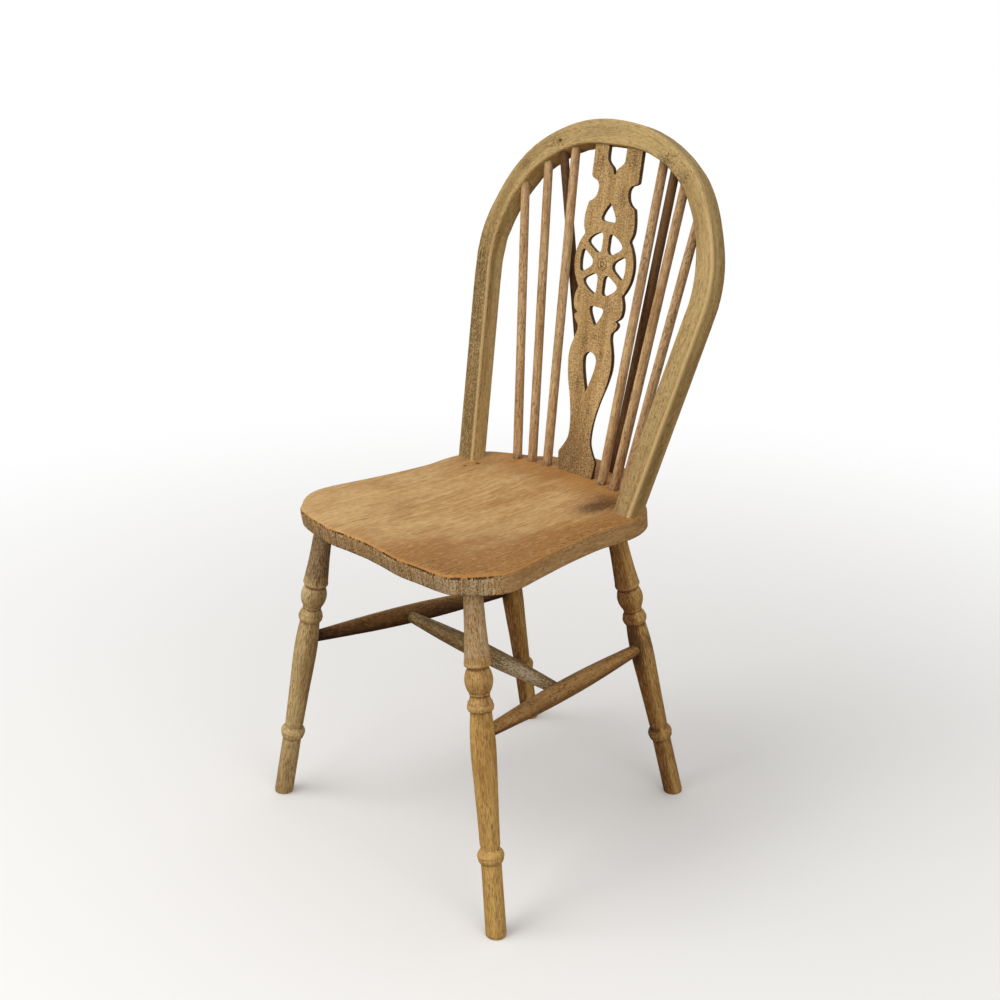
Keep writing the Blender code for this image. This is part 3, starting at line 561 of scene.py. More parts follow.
def seatPiece():
    # the board: dished top, rough end grain with nicks at the front, where it is worn, stained and dirty,
    # with painted shade round the sticks' feet and a painted highlight along the rim
    plan, run = seatPlan()
    inward = squareTo(plan)
    front = ramp(inward[:, 1], 0.10, 0.50)
    endGrain = np.clip(front + ramp(-inward[:, 1], 0.7, 0.95) * ramp(plan[:, 1], 0.18, 0.19), 0, 1)
    nicks = speckle(spread(run * 950, 0, 0), 4) + 0.6 * speckle(spread(run * 90, 0, 0), 5)
    pits = ramp(nicks, -0.35, 0.6) * front
    xy, drop = seatSkin(plan, run, inward, endGrain, pits)
    x, y = xy[..., 0], xy[..., 1]
    wave = np.clip(0.00025 * cloudy(spread(x * 22, y * 12, 0), 21), 0, 1)
    down = drop + np.where(drop < 1e-9, seatTopDrop(x, y) + wave, 0)
    points = spread(x, y + planY, seatTop - down)

    # where things are: the top, the side, the end grain, the rim, the aged right, behind the bow
    thick = chairPlan["seatThick"]
    isSide = ramp(drop, 0.0016, 0.0030) * (drop < thick - 0.0003)
    top = 1 - ramp(drop, 0.0016, 0.0036)
    streak = isSide * endGrain
    streaks = cloudy(spread(run * 800, 0, 0), 6, 2)
    solid = spread(x, -down, y) + (0.2, 0.4, 0.1)
    grain = np.where((streak > 0.5)[..., None], spread(run, 0.3, drop * 2.6 + 0.02 * x), solid)
    slow = cloudy(spread(x * 16, 0, y * 5), 31)
    middle = np.array(seatLook["middle"])
    out = np.linalg.norm(xy - middle, axis=-1) / np.linalg.norm(plan - middle, axis=-1)
    aged = ramp(out, 0.45, 0.98) * ramp(x - 0.35 * y, 0.02, 0.17)
    behind = ramp(y, 0.03, 0.115)
    near = spot(xy, (0.150, -0.215), (0.055, 0.05))

    warm = 0.34 * ramp(out, 0.86, 0.99) * ramp(x - y, 0.02, 0.22) + 0.30 * ramp(out, 0.95, 0.995) * front
    warm = warm + 0.30 * spot(xy, (0.145, -0.130), (0.05, 0.07)) + 0.70 * behind
    mottle = 0.75 + 0.5 * cloudy(spread(x * 90, y * 60, 0), 8)
    blot = sum(share * spot(xy, place, size) for share, place, size in seatLook["blots"])
    patch = blot * mottle + 0.10 * ramp(y, 0.075, 0.12) * ramp(x, -0.02, 0.08)
    patch = patch + 0.16 * spot(xy, (0.110, -0.130), (0.05, 0.07))
    dots = sum(spot(xy, place, size) for place, size in seatLook["dots"])
    bend = x + 0.058 - 0.02 * np.clip((y + 0.10) / 0.03, 0, 1)
    joint = bell(bend, 0, 0.0013) * ramp(-0.085 - y, -0.005, 0.01)
    gutter = bell(y, 0.117, 0.004) * ramp(0.10 - np.abs(x), 0, 0.02)
    fleck = 0.7 + 0.5 * speckle(spread(run * 500, drop * 160, 0), 18)
    grime = top * (1.3 * dots + 0.62 * joint + 0.35 * gutter)
    grime = grime + 0.45 * isSide * ramp(drop, 0.019, 0.025) * endGrain
    grime = grime + 0.20 * streak * (0.5 + cloudy(spread(x * 60, 0, drop * 80), 13))
    grime = grime + 1.5 * pits * ramp(drop, 0.0020, 0.0030) * ramp(0.0058 - drop, 0, 0.003)
    grime = grime + 0.42 * streak * ramp(streaks, 0.15, 0.9) * fleck + 0.32 * top * blot
    # painted shade on the seat round the feet of the sticks and braces
    for foot in chairPlan["stickFeet"] + (seatLook["braceDirt"],):
        for side in (-1, 1):
            grime = grime + 0.6 * top * spot(xy, (side * foot[0], foot[1]), (0.009, 0.009))
    values = {
        "grainAt": grain, "grime": grime,
        "tone": 0.22 * slow + top * (0.18 - 0.85 * aged - 0.30 * behind) + (0.45 - 0.9 * streaks) * streak,
        "stain": np.clip(patch * top + 0.25 * isSide * (1 - endGrain), 0, 1),
        # the band round the rounded rim is a painted highlight, in the wear colour
        "wear": warm * top + 0.50 * ramp(drop, 0.0006, 0.0014) * ramp(0.0036 - drop, 0, 0.0010),
        "flecked": 0.16 + 0.50 * streak + 0.35 * isSide + top * (0.55 * aged + 1.20 * blot + 0.30 * behind),
        "chalk": 0.25 * streak * near + 0.35 * streak - 0.4 * streaks * streak,
    }
    tubeMesh("seat_board", points, values, seatWood, "seat")


seatPiece()
print("seat shaped")

# Bow: a rounded section swept round the hoop, its arrises worn
bowLook = {
    "angles": (0, 15, 30, 45, 65, 90, 99.4),
    "radii": (0.1839, 0.1869, 0.1909, 0.1937, 0.1920, 0.1882, 0.1860),
    "widths": (0.0315, 0.0285, 0.0246, 0.0245, 0.0242, 0.0245, 0.0250), "rise": 0.2715, "round": 0.0024,
    "footX": 0.1435, "footWidth": 0.0255, "rows": 760, "legOut": 0.003, "backMore": 0.0035,
    "innerTurns": (-99, -75, -55, -35, -18, -4), "innerFront": (0, 0.0010, 0.0030, 0.0045, 0.0020, 0),
    "innerBack": (0, 0.0020, 0.0040, 0.0050, 0.0030, 0),
    "specks": ((-30.7, 0, 4.0), (31.6, -9, 4.0), (42.0, -5, 3.5), (-48, 2, 3.0), (100, 0, 2.0)),
}
bowTurn = np.array(Matrix.Translation((0, chairPlan["bowLine"] + planY, seatTop)) @ Euler(
    (-chairPlan["bowLean"], 0, 0)).to_matrix().to_4x4())


def eased(knots, values, at):
    # values between knots, level at each end and smooth in between
    knots, values = np.array(knots, float), np.array(values, float)
    slopes = np.gradient(values, knots)
    slopes[[0, -1]] = 0
    i = np.clip(np.searchsorted(knots, at, side="right") - 1, 0, len(knots) - 2)
    span = knots[i + 1] - knots[i]
    t = (at - knots[i]) / span
    rise, bend, catch = values[i + 1] - values[i], slopes[i] * span, slopes[i + 1] * span
    return values[i] + t * (bend + t * (3 * rise - 2 * bend - catch + t * (bend + catch - 2 * rise)))


def moved(matrix, points):
    # the points carried by a 4 by 4 matrix
    return points @ matrix[:3, :3].T + matrix[:3, 3]


def bowLine():
    # the hoop's middle from foot to foot, spread evenly: x, z, width and turn from the crown in degrees
    limit = bowLook["angles"][-1]
    turns = np.linspace(-limit, limit, 900)
    radius = eased(bowLook["angles"], bowLook["radii"], np.abs(turns))
    angle = np.radians(turns)
    arch = np.column_stack([radius * np.sin(angle), bowLook["rise"] + radius * np.cos(angle)])
    archWidth = eased(bowLook["angles"], bowLook["widths"], np.abs(turns))
    foot = np.array((bowLook["footX"], 0.0))
    below = foot + (foot - arch[-1]) * 0.10
    share = np.linspace(0, 1, 120)[1:, None]
    leg = arch[-1] + share * (below - arch[-1])
    legWidth = archWidth[-1] + share[:, 0] * (bowLook["footWidth"] - archWidth[-1])
    return evenly(np.column_stack([
        np.vstack([leg[::-1] * (-1, 1), arch, leg]),
        np.concatenate([legWidth[::-1], archWidth, legWidth]),
        np.concatenate([np.full(119, -limit), turns, np.full(119, limit)]),
    ]), bowLook["rows"])


def bowSection():
    # a rectangle with round corners, (outward, back): offsets round each corner, and the corner's own signs
    quarter = np.radians(np.linspace(0, 90, 11))
    corner = np.column_stack([np.sin(quarter), np.cos(quarter)])
    corners = ((1, 1), (1, -1), (-1, -1), (-1, 1))
    t = np.linspace(0, 1, 9)[1:-1, None]
    shape, sign = [], []
    for k, here in enumerate(corners):
        bend = corner @ np.linalg.matrix_power(np.array([[0, -1], [1, 0]]), k) * bowLook["round"]
        shape += [bend, np.tile(bend[-1], (7, 1))]
        sign += [np.tile(here, (11, 1)), (1 - t) * here + t * np.array(corners[(k + 1) % 4])]
    return np.vstack(shape), np.vstack(sign)


def bowPiece():
    # the section carried along the hoop: legs fuller outward, the left shoulder inward, the back deeper
    line = bowLine()
    shape, sign = bowSection()
    depth, soft = chairPlan["bowDepth"], bowLook["round"]
    ahead = np.gradient(line[:, :2], axis=0)
    ahead /= np.linalg.norm(ahead, axis=1)[:, None]
    far = runAlong(line[:, :2])
    turn = line[:, 3:4]
    backness = (sign[:, 1] + 1) / 2
    inward = np.interp(turn, bowLook["innerTurns"], bowLook["innerFront"])
    inward = inward + backness * np.interp(turn, bowLook["innerTurns"], bowLook["innerBack"])
    outward = shape[:, 0] + sign[:, 0] * (line[:, 2:3] / 2 - soft)
    outward = outward + bowLook["legOut"] * ramp(np.abs(turn), 62, 82) * (1 + sign[:, 0]) / 2
    outward = outward - inward * (1 - sign[:, 0]) / 2
    back = shape[:, 1] + sign[:, 1] * (depth / 2 - soft) + depth / 2 + bowLook["backMore"] * backness
    arris = np.exp(-((np.abs(sign) - 1) ** 2).sum(-1) / 0.02)
    solid = spread(outward, back, far[:, None])
    worn = 0.0006 * ramp(cloudy(solid * (150, 150, 45), 41), -0.1, 0.9) * arris
    dent = np.clip(0.00022 * cloudy(solid * (70, 70, 16), 43) + worn, 0, 1)
    outward = outward * (1 - dent / 0.012)
    back = depth / 2 + (back - depth / 2) * (1 - dent / 0.011)
    x = line[:, 0:1] - ahead[:, 1:2] * outward
    z = line[:, 1:2] + ahead[:, 0:1] * outward
    points = moved(bowTurn, spread(x, back, z))

    # where things are: the front face, the inner and outer sides, the two edges that catch wear and painted
    # highlight, the left leg
    spin = spread(np.degrees(np.arctan2(x, z - bowLook["rise"])), outward * 1000)
    specks = sum(spot(spin, (at, out), (wide, wide * 3)) for at, out, wide in bowLook["specks"])
    frontEdge = spot(sign, (1, -1), (0.1, 0.1))
    innerEdge = spot(sign, (-1, -1), (0.1, 0.1))
    face, inner, outer = (ramp(side, 0.6, 0.95) for side in (-sign[:, 1], -sign[:, 0], sign[:, 0]))
    right, left = ramp(turn, 40, 75), ramp(-turn, 55, 95)
    low = ramp(far[:, None] - far[-1] / 2, 0.40, 0.50)
    slow = cloudy(solid * (30, 30, 7), 47)
    dirt = ramp(cloudy(solid * (160, 160, 40), 49), -0.1, 0.7)
    # the front face is lighter and the other faces darker, painted light and shade; on the left leg the front
    # face is darker and the inner face lighter, painted shade and light; the right leg's outer face and the
    # edges facing right get wear and painted highlight
    values = {
        "grainAt": solid,
        "tone": 0.25 * slow + 0.25 * face - 0.15 * low - 0.30 * left * face + 0.30 * left * inner,
        "stain": np.clip(0.35 * ramp(slow, 0.1, 0.8) + 0.7 * low * ramp(-turn - 100, -300, 0), 0, 1),
        "wear": 0.20 * arris + 0.50 * frontEdge * right + 0.60 * innerEdge * left + 0.15 * outer * right,
        "grime": 0.10 * specks + 0.1 * (1 - face) + 0.6 * dirt * left * face,
        "flecked": 0.30 + 0.50 * left * face + 0.45 * specks, "chalk": 0.12 + 0.1 * slow,
    }
    tubeMesh("bow_hoop", points, values, bowWood, "bow")


bowPiece()
print("bow bent")

# Sticks and braces, from the seat to the middle of the hoop
stickLook = {
    "ends": (0.0063, 0.0058), "names": ("inner", "middle", "outer"), "bury": 0.007, "rows": 260, "around": 28,
    "tops": ((0.0755, 0.4255), (0.1165, 0.4020), (0.1490, 0.3620)),
    "drift": ((0.0070, 0.0045, 0.0045), (0.0070, 0.0062, 0.0050)),
    "braceFeet": ((-0.0185, 0.1680), (0.0275, 0.1680)), "braceTop": (0.0975, 0.4140),
    "braceDrift": (0.0115, 0.0055),
}


def toHoop(foot, top):
    # where the line from the foot past the top meets the middle of the bow
    back = np.linalg.inv(bowTurn)
    shares = np.linspace(0.8, 1.3, 4000)
    at = moved(back, foot + shares[:, None] * (top - foot))
    radius = np.hypot(at[:, 0], at[:, 2] - bowLook["rise"])
    turn = np.degrees(np.arctan2(at[:, 0], at[:, 2] - bowLook["rise"]))
    inside = radius < eased(bowLook["angles"], bowLook["radii"], np.abs(turn))
    return foot + shares[np.argmin(inside)] * (top - foot)


def rodPiece(name, start, end, radius, rows, around, seed, look, material, slotName):
    # a round rod, its radius a function of the distance along it, slightly oval and dented
    length = np.linalg.norm(end - start)
    along, across, other = axes(start, end)
    h = np.linspace(0, length, rows)
    turn = np.linspace(0, 2 * np.pi, around, endpoint=False)
    r = radius(h, length)[:, None] * (1 + 0.012 * np.cos(2 * turn + seed))
    far = np.repeat(h[:, None], around, 1)
    local = spread(r * np.cos(turn), r * np.sin(turn), far)
    dent = 0.00014 * cloudy(local * (120, 120, 18), seed)
    r = r + dent + 0.00008 * cloudy(local * (420, 420, 60), seed + 3)
    reach = outFrom(turn, across, other)
    points = start + far[..., None] * along + r[..., None] * reach
    values = look(far, length, reach, points, seed)
    values["grainAt"] = local + (seed * 0.41, seed * 0.73, seed * 0.57)
    tubeMesh(name + "_rod", points, values, material, name)


def stickRadius(h, length):
    first, last = stickLook["ends"]
    return first + (last - first) * h / length


def stickValues(h, length, facing, points, seed):
    # darker toward the foot, with painted shade right at the foot and just under the bow, where the stick
    # meets seat and bow
    foot = ramp(0.10 - h, 0, 0.09)
    slow = cloudy(points * (40, 40, 10), seed)
    return {"tone": 0.35 * slow - 0.30 * foot, "stain": np.clip(0.20 + 0.45 * slow + 0.25 * foot, 0, 1),
            "grime": 0.34 * foot + 0.30 * ramp(0.018 - h, 0, 0.012) + 0.5 * ramp(h - length, -0.030, -0.018),
            "flecked": 0.40 + 0.15 * slow, "chalk": 0.14, "wear": 0.12 + 0.2 * ramp(slow, 0, 1)}


def standing(name, foot, top, seed, wood, slotName):
    # a stick or brace from its foot (x, y) in the seat toward a point (across, up) in the bow's own plane
    foot = np.array((foot[0], foot[1] + planY, seatTop))
    top = moved(bowTurn, np.array((top[0], chairPlan["bowDepth"] / 2, top[1])))
    tip = toHoop(foot, top)
    down = (foot - tip) / np.linalg.norm(foot - tip)
    rodPiece(name, foot + stickLook["bury"] * down, tip, stickRadius, stickLook["rows"], stickLook["around"],
             seed, stickValues, wood, slotName)


for side, name in ((-1, "left"), (1, "right")):
    for i, which in enumerate(stickLook["names"]):
        (footX, footY), (topX, topZ) = chairPlan["stickFeet"][i], stickLook["tops"][i]
        top = (side * topX + stickLook["drift"][side > 0][i], topZ)
        standing(f"stick_{name}_{which}", (side * footX, footY), top, 11 + 3 * i + (side > 0), stickWood,
                 "stick_wood")
    topX, topZ = stickLook["braceTop"]
    top = (side * topX + stickLook["braceDrift"][side > 0], topZ)
    standing(f"brace_{name}", stickLook["braceFeet"][side > 0], top, 25 + (side > 0), braceWood, "brace_wood")
print("sticks set")

# Stretchers
rodLook = {
    "sideRise": (0.2414, 0.2304), "side": ((0.0077, 0.0130), (0.0077, 0.0122)), "sideBury": 0.0151,
    "share": 0.466, "cross": (0.0074, 0.0123), "crossBury": 0.0095, "around": 44,
}


def fullRod(ends, most, bury):
    # end radius plus a swelling that follows a half sine between the buried ends
    def radius(h, length):
        t = np.clip((h - bury) / (length - 2 * bury), 0, 1)
        return ends + (most - ends) * np.sin(np.pi * t) ** 1.05
    return radius


def sideRodValues(h, length, facing, points, seed):
    # browner toward its ends, lighter on top and darker below as painted light and shade; the left one, under
    # the seat, darker all over with painted shade, with no residue and no wear
    slow = cloudy(points * (30, 12, 30), seed)
    toEnd = np.minimum(h, length - h)
    ends = ramp(0.06 - toEnd, 0, 0.05)
    left = points[..., 0] < 0
    return {"tone": 0.25 * slow - 0.15 * ends - 0.6 * left + 0.35 * facing[..., 2],
            "stain": np.clip(0.15 + 0.8 * ramp(slow, 0.0, 0.7), 0, 1),
            "grime": 0.25 * ends + 0.65 * left - 0.30 * facing[..., 2] + 0.5 * ramp(0.022 - toEnd, 0, 0.010),
            "flecked": 0.42, "chalk": (0.16 + 0.15 * slow) * (1 - left),
            "wear": 0.25 * ramp(slow, 0, 1) * (1 - left)}


def crossRodValues(h, length, facing, points, seed):
    # greener, dark along its top, a pale residue toward its right end
    slow = cloudy(points * (12, 30, 30), seed)
    top = ramp(facing[..., 2], 0.55, 0.95)
    residue = bell(points[..., 0], 0.09, 0.05) * ramp(-facing[..., 1], 0.0, 0.5)
    return {"tone": 0.20 * slow - 0.15, "stain": 0.25 * top, "grime": 0.45 * top * ramp(slow, -0.4, 0.4),
            "flecked": 0.42, "chalk": 0.15 + 0.7 * residue, "wear": 0.0}


rodEnds = {}
for side, name in ((-1, "left"), (1, "right")):
    ends = []
    for place, rise in zip(("front", "rear"), rodLook["sideRise"]):
        start, end = legLine(place, side)
        ends.append(start + (end - start) * rise / end[2])
    swell = fullRod(*rodLook["side"][side > 0], rodLook["sideBury"])
    rodPiece(f"stretcher_{name}", *ends, swell, 320, rodLook["around"], 31 + (side > 0),
             sideRodValues, rodWood, "stretcher_wood")
    rodEnds[side] = ends[0] + rodLook["share"] * (ends[1] - ends[0])
rodPiece("stretcher_cross", rodEnds[-1] + (0.0015, 0, 0), rodEnds[1] - (0.0015, 0, 0),
         fullRod(*rodLook["cross"], rodLook["crossBury"]), 420, rodLook["around"], 35,
         crossRodValues, crossWood, "stretcher_wood")
print("stretchers set")

# Splat: a pierced board, millimetres (half width, rise) up its face
splatLook = {
    "thick": 6.8, "horn": (15.3, 41.6), "hornTop": 437, "wheelRise": 278, "wheel": 52.5,
    "hole": (17, 39.5), "spoke": 5.8, "leftLoss": 3.2, "tenon": 8, "foot": 30.5, "grid": 1.5,
    "round": 0.5, "planed": 2.2, "chip": (1.8, (29, 4), (7, 9)),
    "hubRings": (1.2, 2.2, 2.7, 3, 3.3, 3.8, 4.8, 5.6, 6, 6.3, 6.7, 7.1, 7.6, 8.3),
    "specks": (
        (20, 165, 3.5), (-12, 176, 4.5), (4, 184, 3.5), (26, 226, 3.5), (-33, 232, 3), (12, 90, 4),
        (31, 410, 5), (16, 366, 5.5), (-24, 405, 4), (8, 352, 3.5), (-14, 120, 5),
    ),
    "step": ((41.5, 384.5), (36, 381.6), (31.3, 380.5)),
    "bite": (
        (31.3, 380.5), (27.8, 376), (27, 371.5), (27.8, 365), (30.6, 359.6), (35.2, 355.4), (40.6, 353),
    ),
    "upper": ((40.6, 353), (43.2, 343), (44.7, 331), (43.9, 321), (40, 313)),
    "lower": ((40, 243), (43.9, 233), (44.4, 224), (42, 216), (34, 210)),
    "bump": ((34, 210), (38.3, 208.8), (39.5, 205.6), (36.5, 200), (30.8, 195)),
    "waist": (
        (30.8, 195), (30.6, 187), (34, 176), (37.4, 163), (38, 148),
        (34, 124), (26.4, 99.5), (20.6, 73.5), (19.5, 51), (23.4, 39), (34, 23),
    ),
    "key": (
        (0, 389.8), (1.9, 391), (2.6, 394.5), (5.2, 398.8), (10.2, 402.4), (14.2, 406.5), (15.3, 411.5),
    ),
    "drops": (
        ((0, 356), (4.2, 350.5), (9.4, 343), (12.4, 336.2), (11.8, 332.6), (8, 331.5), (0, 331.5)),
        ((0, 198), (4.2, 203.5), (9.2, 211), (12, 218), (11.4, 221.8), (7.8, 223), (0, 223)),
        ((0, 164.5), (6.4, 162.4), (10.6, 157.8), (11.5, 152.5), (10, 141.5), (5.4, 125.5), (0, 110.7)),
    ),
}
splatTurn = np.array(Matrix.Translation((0, chairPlan["splatLine"] + planY, seatTop)) @ Euler(
    (math.pi / 2 - chairPlan["splatLean"], chairPlan["splatRack"], 0)).to_matrix().to_4x4())


def arc(middle, radius, first, last, steps):
    # points round an arc, degrees clockwise from straight up
    turn = np.radians(np.linspace(first, last, steps + 1))
    return np.array(middle) + radius * np.column_stack([np.sin(turn), np.cos(turn)])


def mirrored(half):
    # a closed loop from its right half, given from the middle line round to the middle line
    half = np.array(half, float)
    other = half[::-1] * (-1, 1)
    other = other[int(abs(half[-1, 0]) < 1e-9):len(other) - int(abs(half[0, 0]) < 1e-9)]
    return np.vstack([half, other])


def wheelHole(turn):
    # one opening between two spokes: straight beside them, round inside and out, its corners eased
    inner, outer = splatLook["hole"]
    halves = [30 - math.degrees(math.asin(splatLook["spoke"] / r)) for r in (inner, outer)]
    centre = (0, splatLook["wheelRise"])
    outside = arc(centre, outer, turn - halves[1], turn + halves[1], 40)
    inside = arc(centre, inner, turn + halves[0], turn - halves[0], 16)
    ring = np.vstack([outside, np.linspace(outside[-1], inside[0], 18)[1:-1], inside,
                      np.linspace(inside[-1], outside[0], 18)[1:-1]])
    soft = rubbed(ring, 96, 26)
    grow = (ring.max(0) - ring.min(0)) / (soft.max(0) - soft.min(0))
    return soft.mean(0) + (soft - soft.mean(0)) * grow


def rubbed(loop, count, times):
    # a closed loop with its corners softened
    for _ in range(times):
        loop = evenly(loop, count, True)
        loop = 0.5 * loop + 0.25 * (np.roll(loop, 1, 0) + np.roll(loop, -1, 0))
    return evenly(loop, count, True)


def splatLoops():
    # the outline, whose left side has lost a little above the waist, then the drops and the wheel's openings
    wheel = splatLook["wheel"]
    half = math.degrees(math.asin(splatLook["upper"][-1][0] / wheel))
    horn = splatLook["horn"]
    right = np.vstack([
        through(splatLook["key"]), [(horn[0], splatLook["hornTop"]), (horn[1], splatLook["hornTop"])],
        through(splatLook["step"]), through(splatLook["bite"])[1:], through(splatLook["upper"])[1:-1],
        arc((0, splatLook["wheelRise"]), wheel, half, 180 - half, 60), through(splatLook["lower"])[1:],
        through(splatLook["bump"])[1:], through(splatLook["waist"])[1:],
        [(splatLook["foot"], 0.0), (splatLook["foot"], -splatLook["tenon"])],
    ])
    outline = mirrored(right)
    x, s = outline[:, 0], outline[:, 1]
    outline[:, 0] = np.where(x < -horn[0] - 5, x + splatLook["leftLoss"] * np.clip((s - 150) / 70, 0, 1), x)
    loops = [outline] + [mirrored(through(shape)) for shape in splatLook["drops"]]
    loops += [wheelHole(turn) for turn in range(30, 360, 60)]
    girths = [np.linalg.norm(np.diff(loop, axis=0, append=loop[:1]), axis=1).sum() for loop in loops]
    return [rubbed(loop, int(girth / 1.05), 2) for loop, girth in zip(loops, girths)]


def within(p, loops):
    # True for points inside the outline and outside the holes, by counting crossings
    inside = np.zeros(len(p), bool)
    for loop in loops:
        a, b = loop, np.roll(loop, -1, 0)
        over = (a[None, :, 1] > p[:, None, 1]) != (b[None, :, 1] > p[:, None, 1])
        with np.errstate(divide="ignore", invalid="ignore"):
            cut = a[:, 0] + (p[:, None, 1] - a[:, 1]) * (b[:, 0] - a[:, 0]) / (b[:, 1] - a[:, 1])
        inside ^= (np.sum(over & (p[:, None, 0] < cut), 1) % 2).astype(bool)
    return inside


def nearest(p, loops):
    # distance from each point to the loops' own points
    every = np.vstack(loops)
    return np.concatenate([
        np.sqrt(((chunk[:, None] - every[None]) ** 2).sum(-1)).min(1) for chunk in np.array_split(p, 24)
    ])


def splatEdge(loops):
    # rings of each loop from the front arris over the sawn side to the back one, their faces and end rings
    thick, soft = splatLook["thick"], splatLook["round"]
    quarter = np.linspace(0, np.pi / 2, 5)
    profile = [(soft * (1 - math.sin(a)), -soft * (1 - math.cos(a))) for a in quarter]
    profile += [(0.0, -z) for z in np.linspace(soft, thick - soft, 7)[1:-1]]
    profile += [(soft * (1 - math.cos(a)), -thick + soft * (1 - math.sin(a))) for a in quarter]
    points, faces, ends, start = [], [], ([], []), 0
    for i, loop in enumerate(loops):
        count, rows = len(loop), len(profile)
        x, s = loop.T
        after = np.roll(loop, -1, 0)
        area = np.sum(x * after[:, 1] - after[:, 0] * s)
        into = squareTo(loop) * (1 if (area > 0) == (i == 0) else -1)
        # low down, the back's right edge is planed off
        planed = (i == 0) * splatLook["planed"] * ramp(x, 8, 22) * ramp(150 - s, 0, 40) * ramp(s, 3, 16)
        for inset, z in profile:
            rub = np.clip(0.10 * cloudy(spread(x * 0.30, s * 0.30, z), 51, 2), 0, 1)
            inset = inset + rub * (inset == 0) + planed * ramp(-z, 2.4, thick) ** 1.5
            points.append(spread(*(loop + into * inset[:, None]).T, z))
        quads = np.roll(ringQuads(rows, count, start), -1, 1)
        faces += (quads[:, ::-1] if i == 0 else quads).tolist()
        ends[0].append(start + np.arange(count))
        ends[1].append(start + (rows - 1) * count + np.arange(count))
        start += rows * count
    return np.vstack(points), faces, ends


def splatGrid(rings):
    # staggered points over the face, clear of the rings, with finer circles round the hub
    step, centre = splatLook["grid"], (0, splatLook["wheelRise"])
    gx, gy = np.meshgrid(np.arange(-56, 56, step), np.arange(-9, 440, step * 0.87))
    gx = gx + step / 2 * (np.arange(gx.shape[0]) % 2)[:, None]
    grid = np.column_stack([gx.ravel(), gy.ravel()])
    hub = np.vstack([arc(centre, r, 0, 360 - 360 / 48, 47) for r in splatLook["hubRings"]])
    grid = grid[np.hypot(grid[:, 0], grid[:, 1] - centre[1]) > 9.2]
    grid = grid[within(grid, rings)]
    return np.vstack([grid[nearest(grid, rings) > 0.75 * step], hub])


def splatFace(rings, inner, isBack):
    # triangles between the rings and the points inside them, numbered rings first, facing front or back
    flat = np.vstack(rings + [inner])
    edges, first = [], 0
    for ring in rings:
        edges += [(first + k, first + (k + 1) % len(ring)) for k in range(len(ring))]
        first += len(ring)
    made = delaunay_2d_cdt([Vector(p) for p in flat], edges, [], 0, 1e-7)
    label = np.array([olds[0] for olds in made[3]])
    tris = np.array(made[2])
    centre = np.array([tuple(v) for v in made[0]])[tris].mean(1)
    tris = label[tris[within(centre, rings)]]
    a, b, c = flat[tris].transpose(1, 0, 2)
    turned = (b - a)[:, 0] * (c - a)[:, 1] - (b - a)[:, 1] * (c - a)[:, 0] > 0
    wrong = turned == isBack
    tris[wrong] = tris[wrong][:, ::-1]
    return tris


def splatPiece():
    # the board: sawn sides, two faces over them, a raised hub with turned grooves, dents and a chipped foot
    loops = splatLoops()
    thick, step = splatLook["thick"], splatLook["grid"]
    shell, faces, ends = splatEdge(loops)
    grid = splatGrid([shell[ring, :2] for ring in ends[0]])
    used, total = [shell], len(shell)
    for isBack in (False, True):
        rings = [shell[ring, :2] for ring in ends[isBack]]
        inner = grid
        if isBack:
            inner = inner[within(inner, rings)]
            inner = inner[nearest(inner, rings) > 0.6 * step]
        index = np.concatenate(ends[isBack] + [total + np.arange(len(inner))])
        faces += index[splatFace(rings, inner, isBack)].tolist()
        used.append(spread(*inner.T, -thick if isBack else 0.0))
        total += len(inner)
    local = np.vstack(used)
    x, s, z = local.T
    xs = local[:, :2]
    far = np.hypot(x, s - splatLook["wheelRise"])
    front = z > -0.01
    rise = 0.78 * ramp(7.4 - far, 0, 0.8) - 0.60 * bell(far, 3.0, 0.55)
    rise = rise - 0.25 * bell(far, 5.9, 0.35)
    dent = np.clip(0.10 * cloudy(spread(x / 14, s / 40, z / 10), 53), 0, 1)
    chipped, chipAt, chipSize = splatLook["chip"]
    worn = rise - dent - chipped * spot(xs, chipAt, chipSize)
    bent = np.where(front, worn, np.where(z < 0.01 - thick, z + dent, z))

    # where things are: the arris, the sawn side, near an edge, the foot and the lowest end
    edge = ramp(0.4 - np.minimum(-z, thick + z), -0.6, 0.3)
    cutSide = 1 - ramp(np.abs(z + thick / 2), thick / 2 - 1.0, thick / 2 - 0.2)
    near = np.ones(len(local))
    near[len(shell):] = ramp(2.6 - nearest(xs[len(shell):], loops), 0, 2.2)
    foot, low = ramp(110 - s, 0, 90), ramp(14 - s, 0, 12)
    slow = cloudy(spread(x / 18, s / 60, 0), 57)
    specks = sum(spot(xs, (across, up), (wide, wide * 2.2)) for across, up, wide in splatLook["specks"])
    scratch = bell(x + 15 - 0.05 * (s - 150), 0, 0.7) * ramp(22 - np.abs(s - 145), 0, 8)
    rings = 1.3 * bell(far, 3.0, 0.5) * front + 1.1 * bell(far, 7.6, 0.5) * front
    values = {
        "grainAt": spread(x, bent, s) * 0.001,
        "tone": 0.28 * slow - 0.10 * foot + 0.10, "stain": 0.30 * ramp(slow, 0.1, 0.9) + 0.25 * foot,
        "grime": 0.16 * foot + 0.20 * low + 0.95 * cutSide + 0.15 * specks + rings,
        "wear": 0.55 * near * edge * (1 - cutSide) + 0.9 * scratch + 0.3 * ramp(6.6 - far, 0, 1),
        "flecked": 0.42 + 0.34 * foot + 0.32 * specks, "chalk": 0.15 + 0.35 * scratch,
    }
    points = moved(splatTurn, spread(x, s, bent) * 0.001)
    finishMesh("splat_board", points, faces, values, splatWood, ["splat"], 40)


splatPiece()
print("splat cut")

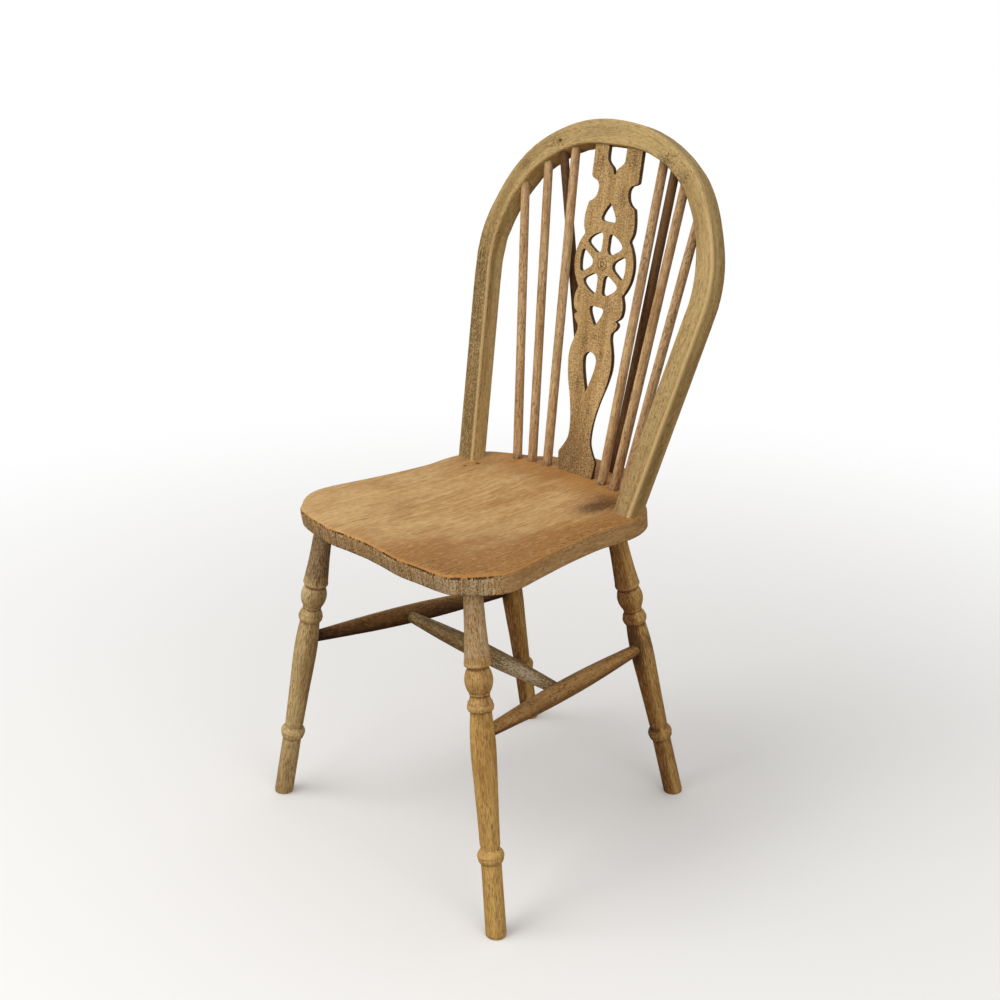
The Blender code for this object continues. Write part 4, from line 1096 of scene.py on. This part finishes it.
# Lamps, daylight from the world, pale floor
lightLook = {
    "lamps": {
        "over": {"power": 22, "place": (-0.7, -1.3, 2.5), "aim": (0, 0, 0.4), "size": 1.3},
        "side": {"power": 12, "place": (2.3, -0.6, 1.4), "aim": (0, 0, 0.45), "size": 1.4},
        "front": {"power": 15, "place": (0.1, -2.6, 1.1), "aim": (0, 0, 0.55), "size": 1.2},
    },
    "sky": 0.60, "floorSeen": tint(246, 244, 241), "floorFelt": tint(120, 96, 70), "floorFades": (0.30, 1.9),
    "floorHalf": 9, "floorDrop": 0.0004,
}
for name, look in lightLook["lamps"].items():
    lamp = bpy.data.objects.new(name + "Lamp", bpy.data.lights.new(name + "Lamp", "AREA"))
    lamp.data.energy = look["power"]
    lamp.data.size = look["size"]
    lamp.location = look["place"]
    aim = Vector(look["aim"]) - Vector(look["place"])
    lamp.rotation_euler = aim.to_track_quat("-Z", "Y").to_euler()
    scene.collection.objects.link(lamp)

world = bpy.data.worlds.new("studio")
scene.world = world
world.use_nodes = True
nodes, links = world.node_tree.nodes, world.node_tree.links
sky = nodes["Background"]
sky.inputs["Color"].default_value = (1, 1, 1, 1)
ray = nodes.new("ShaderNodeLightPath")
level = nodes.new("ShaderNodeMapRange")
level.inputs["To Min"].default_value = lightLook["sky"]
level.inputs["To Max"].default_value = 1.0
links.new(ray.outputs["Is Camera Ray"], level.inputs["Value"])
links.new(level.outputs["Result"], sky.inputs["Strength"])

ground = Shade("floorPale")
seen = ground.add("ShaderNodeLightPath", out="Is Camera Ray")
ground.surface.inputs["Roughness"].default_value = 0.9
ground.surface.inputs["Specular IOR Level"].default_value = 0.1
ground.feed("Base Color", ground.mix(seen, lightLook["floorFelt"], lightLook["floorSeen"]))
white = ground.add("ShaderNodeEmission", {}, {"Color": (1, 1, 1, 1), "Strength": 1.0})
at = ground.add("ShaderNodeTexCoord", out="Object")
away = ground.add("ShaderNodeVectorMath", {"operation": "LENGTH"}, {0: at}, "Value")
fade = ground.step(away, *lightLook["floorFades"]) * seen
blend = ground.add("ShaderNodeMixShader", {}, {0: fade, 1: Tap(ground, ground.surface.outputs[0]), 2: white})
ground.links.new(blend.socket, ground.nodes["Material Output"].inputs["Surface"])
half = lightLook["floorHalf"]
floorMesh = bpy.data.meshes.new("floor")
corners = [(-half, -half, 0), (half, -half, 0), (half, half, 0), (-half, half, 0)]
floorMesh.from_pydata(corners, [], [(0, 1, 2, 3)])
floorMesh.materials.append(ground.material)
floor = bpy.data.objects.new("floor", floorMesh)
floor.location.z = -lightLook["floorDrop"]
scene.collection.objects.link(floor)
print("light and floor set")
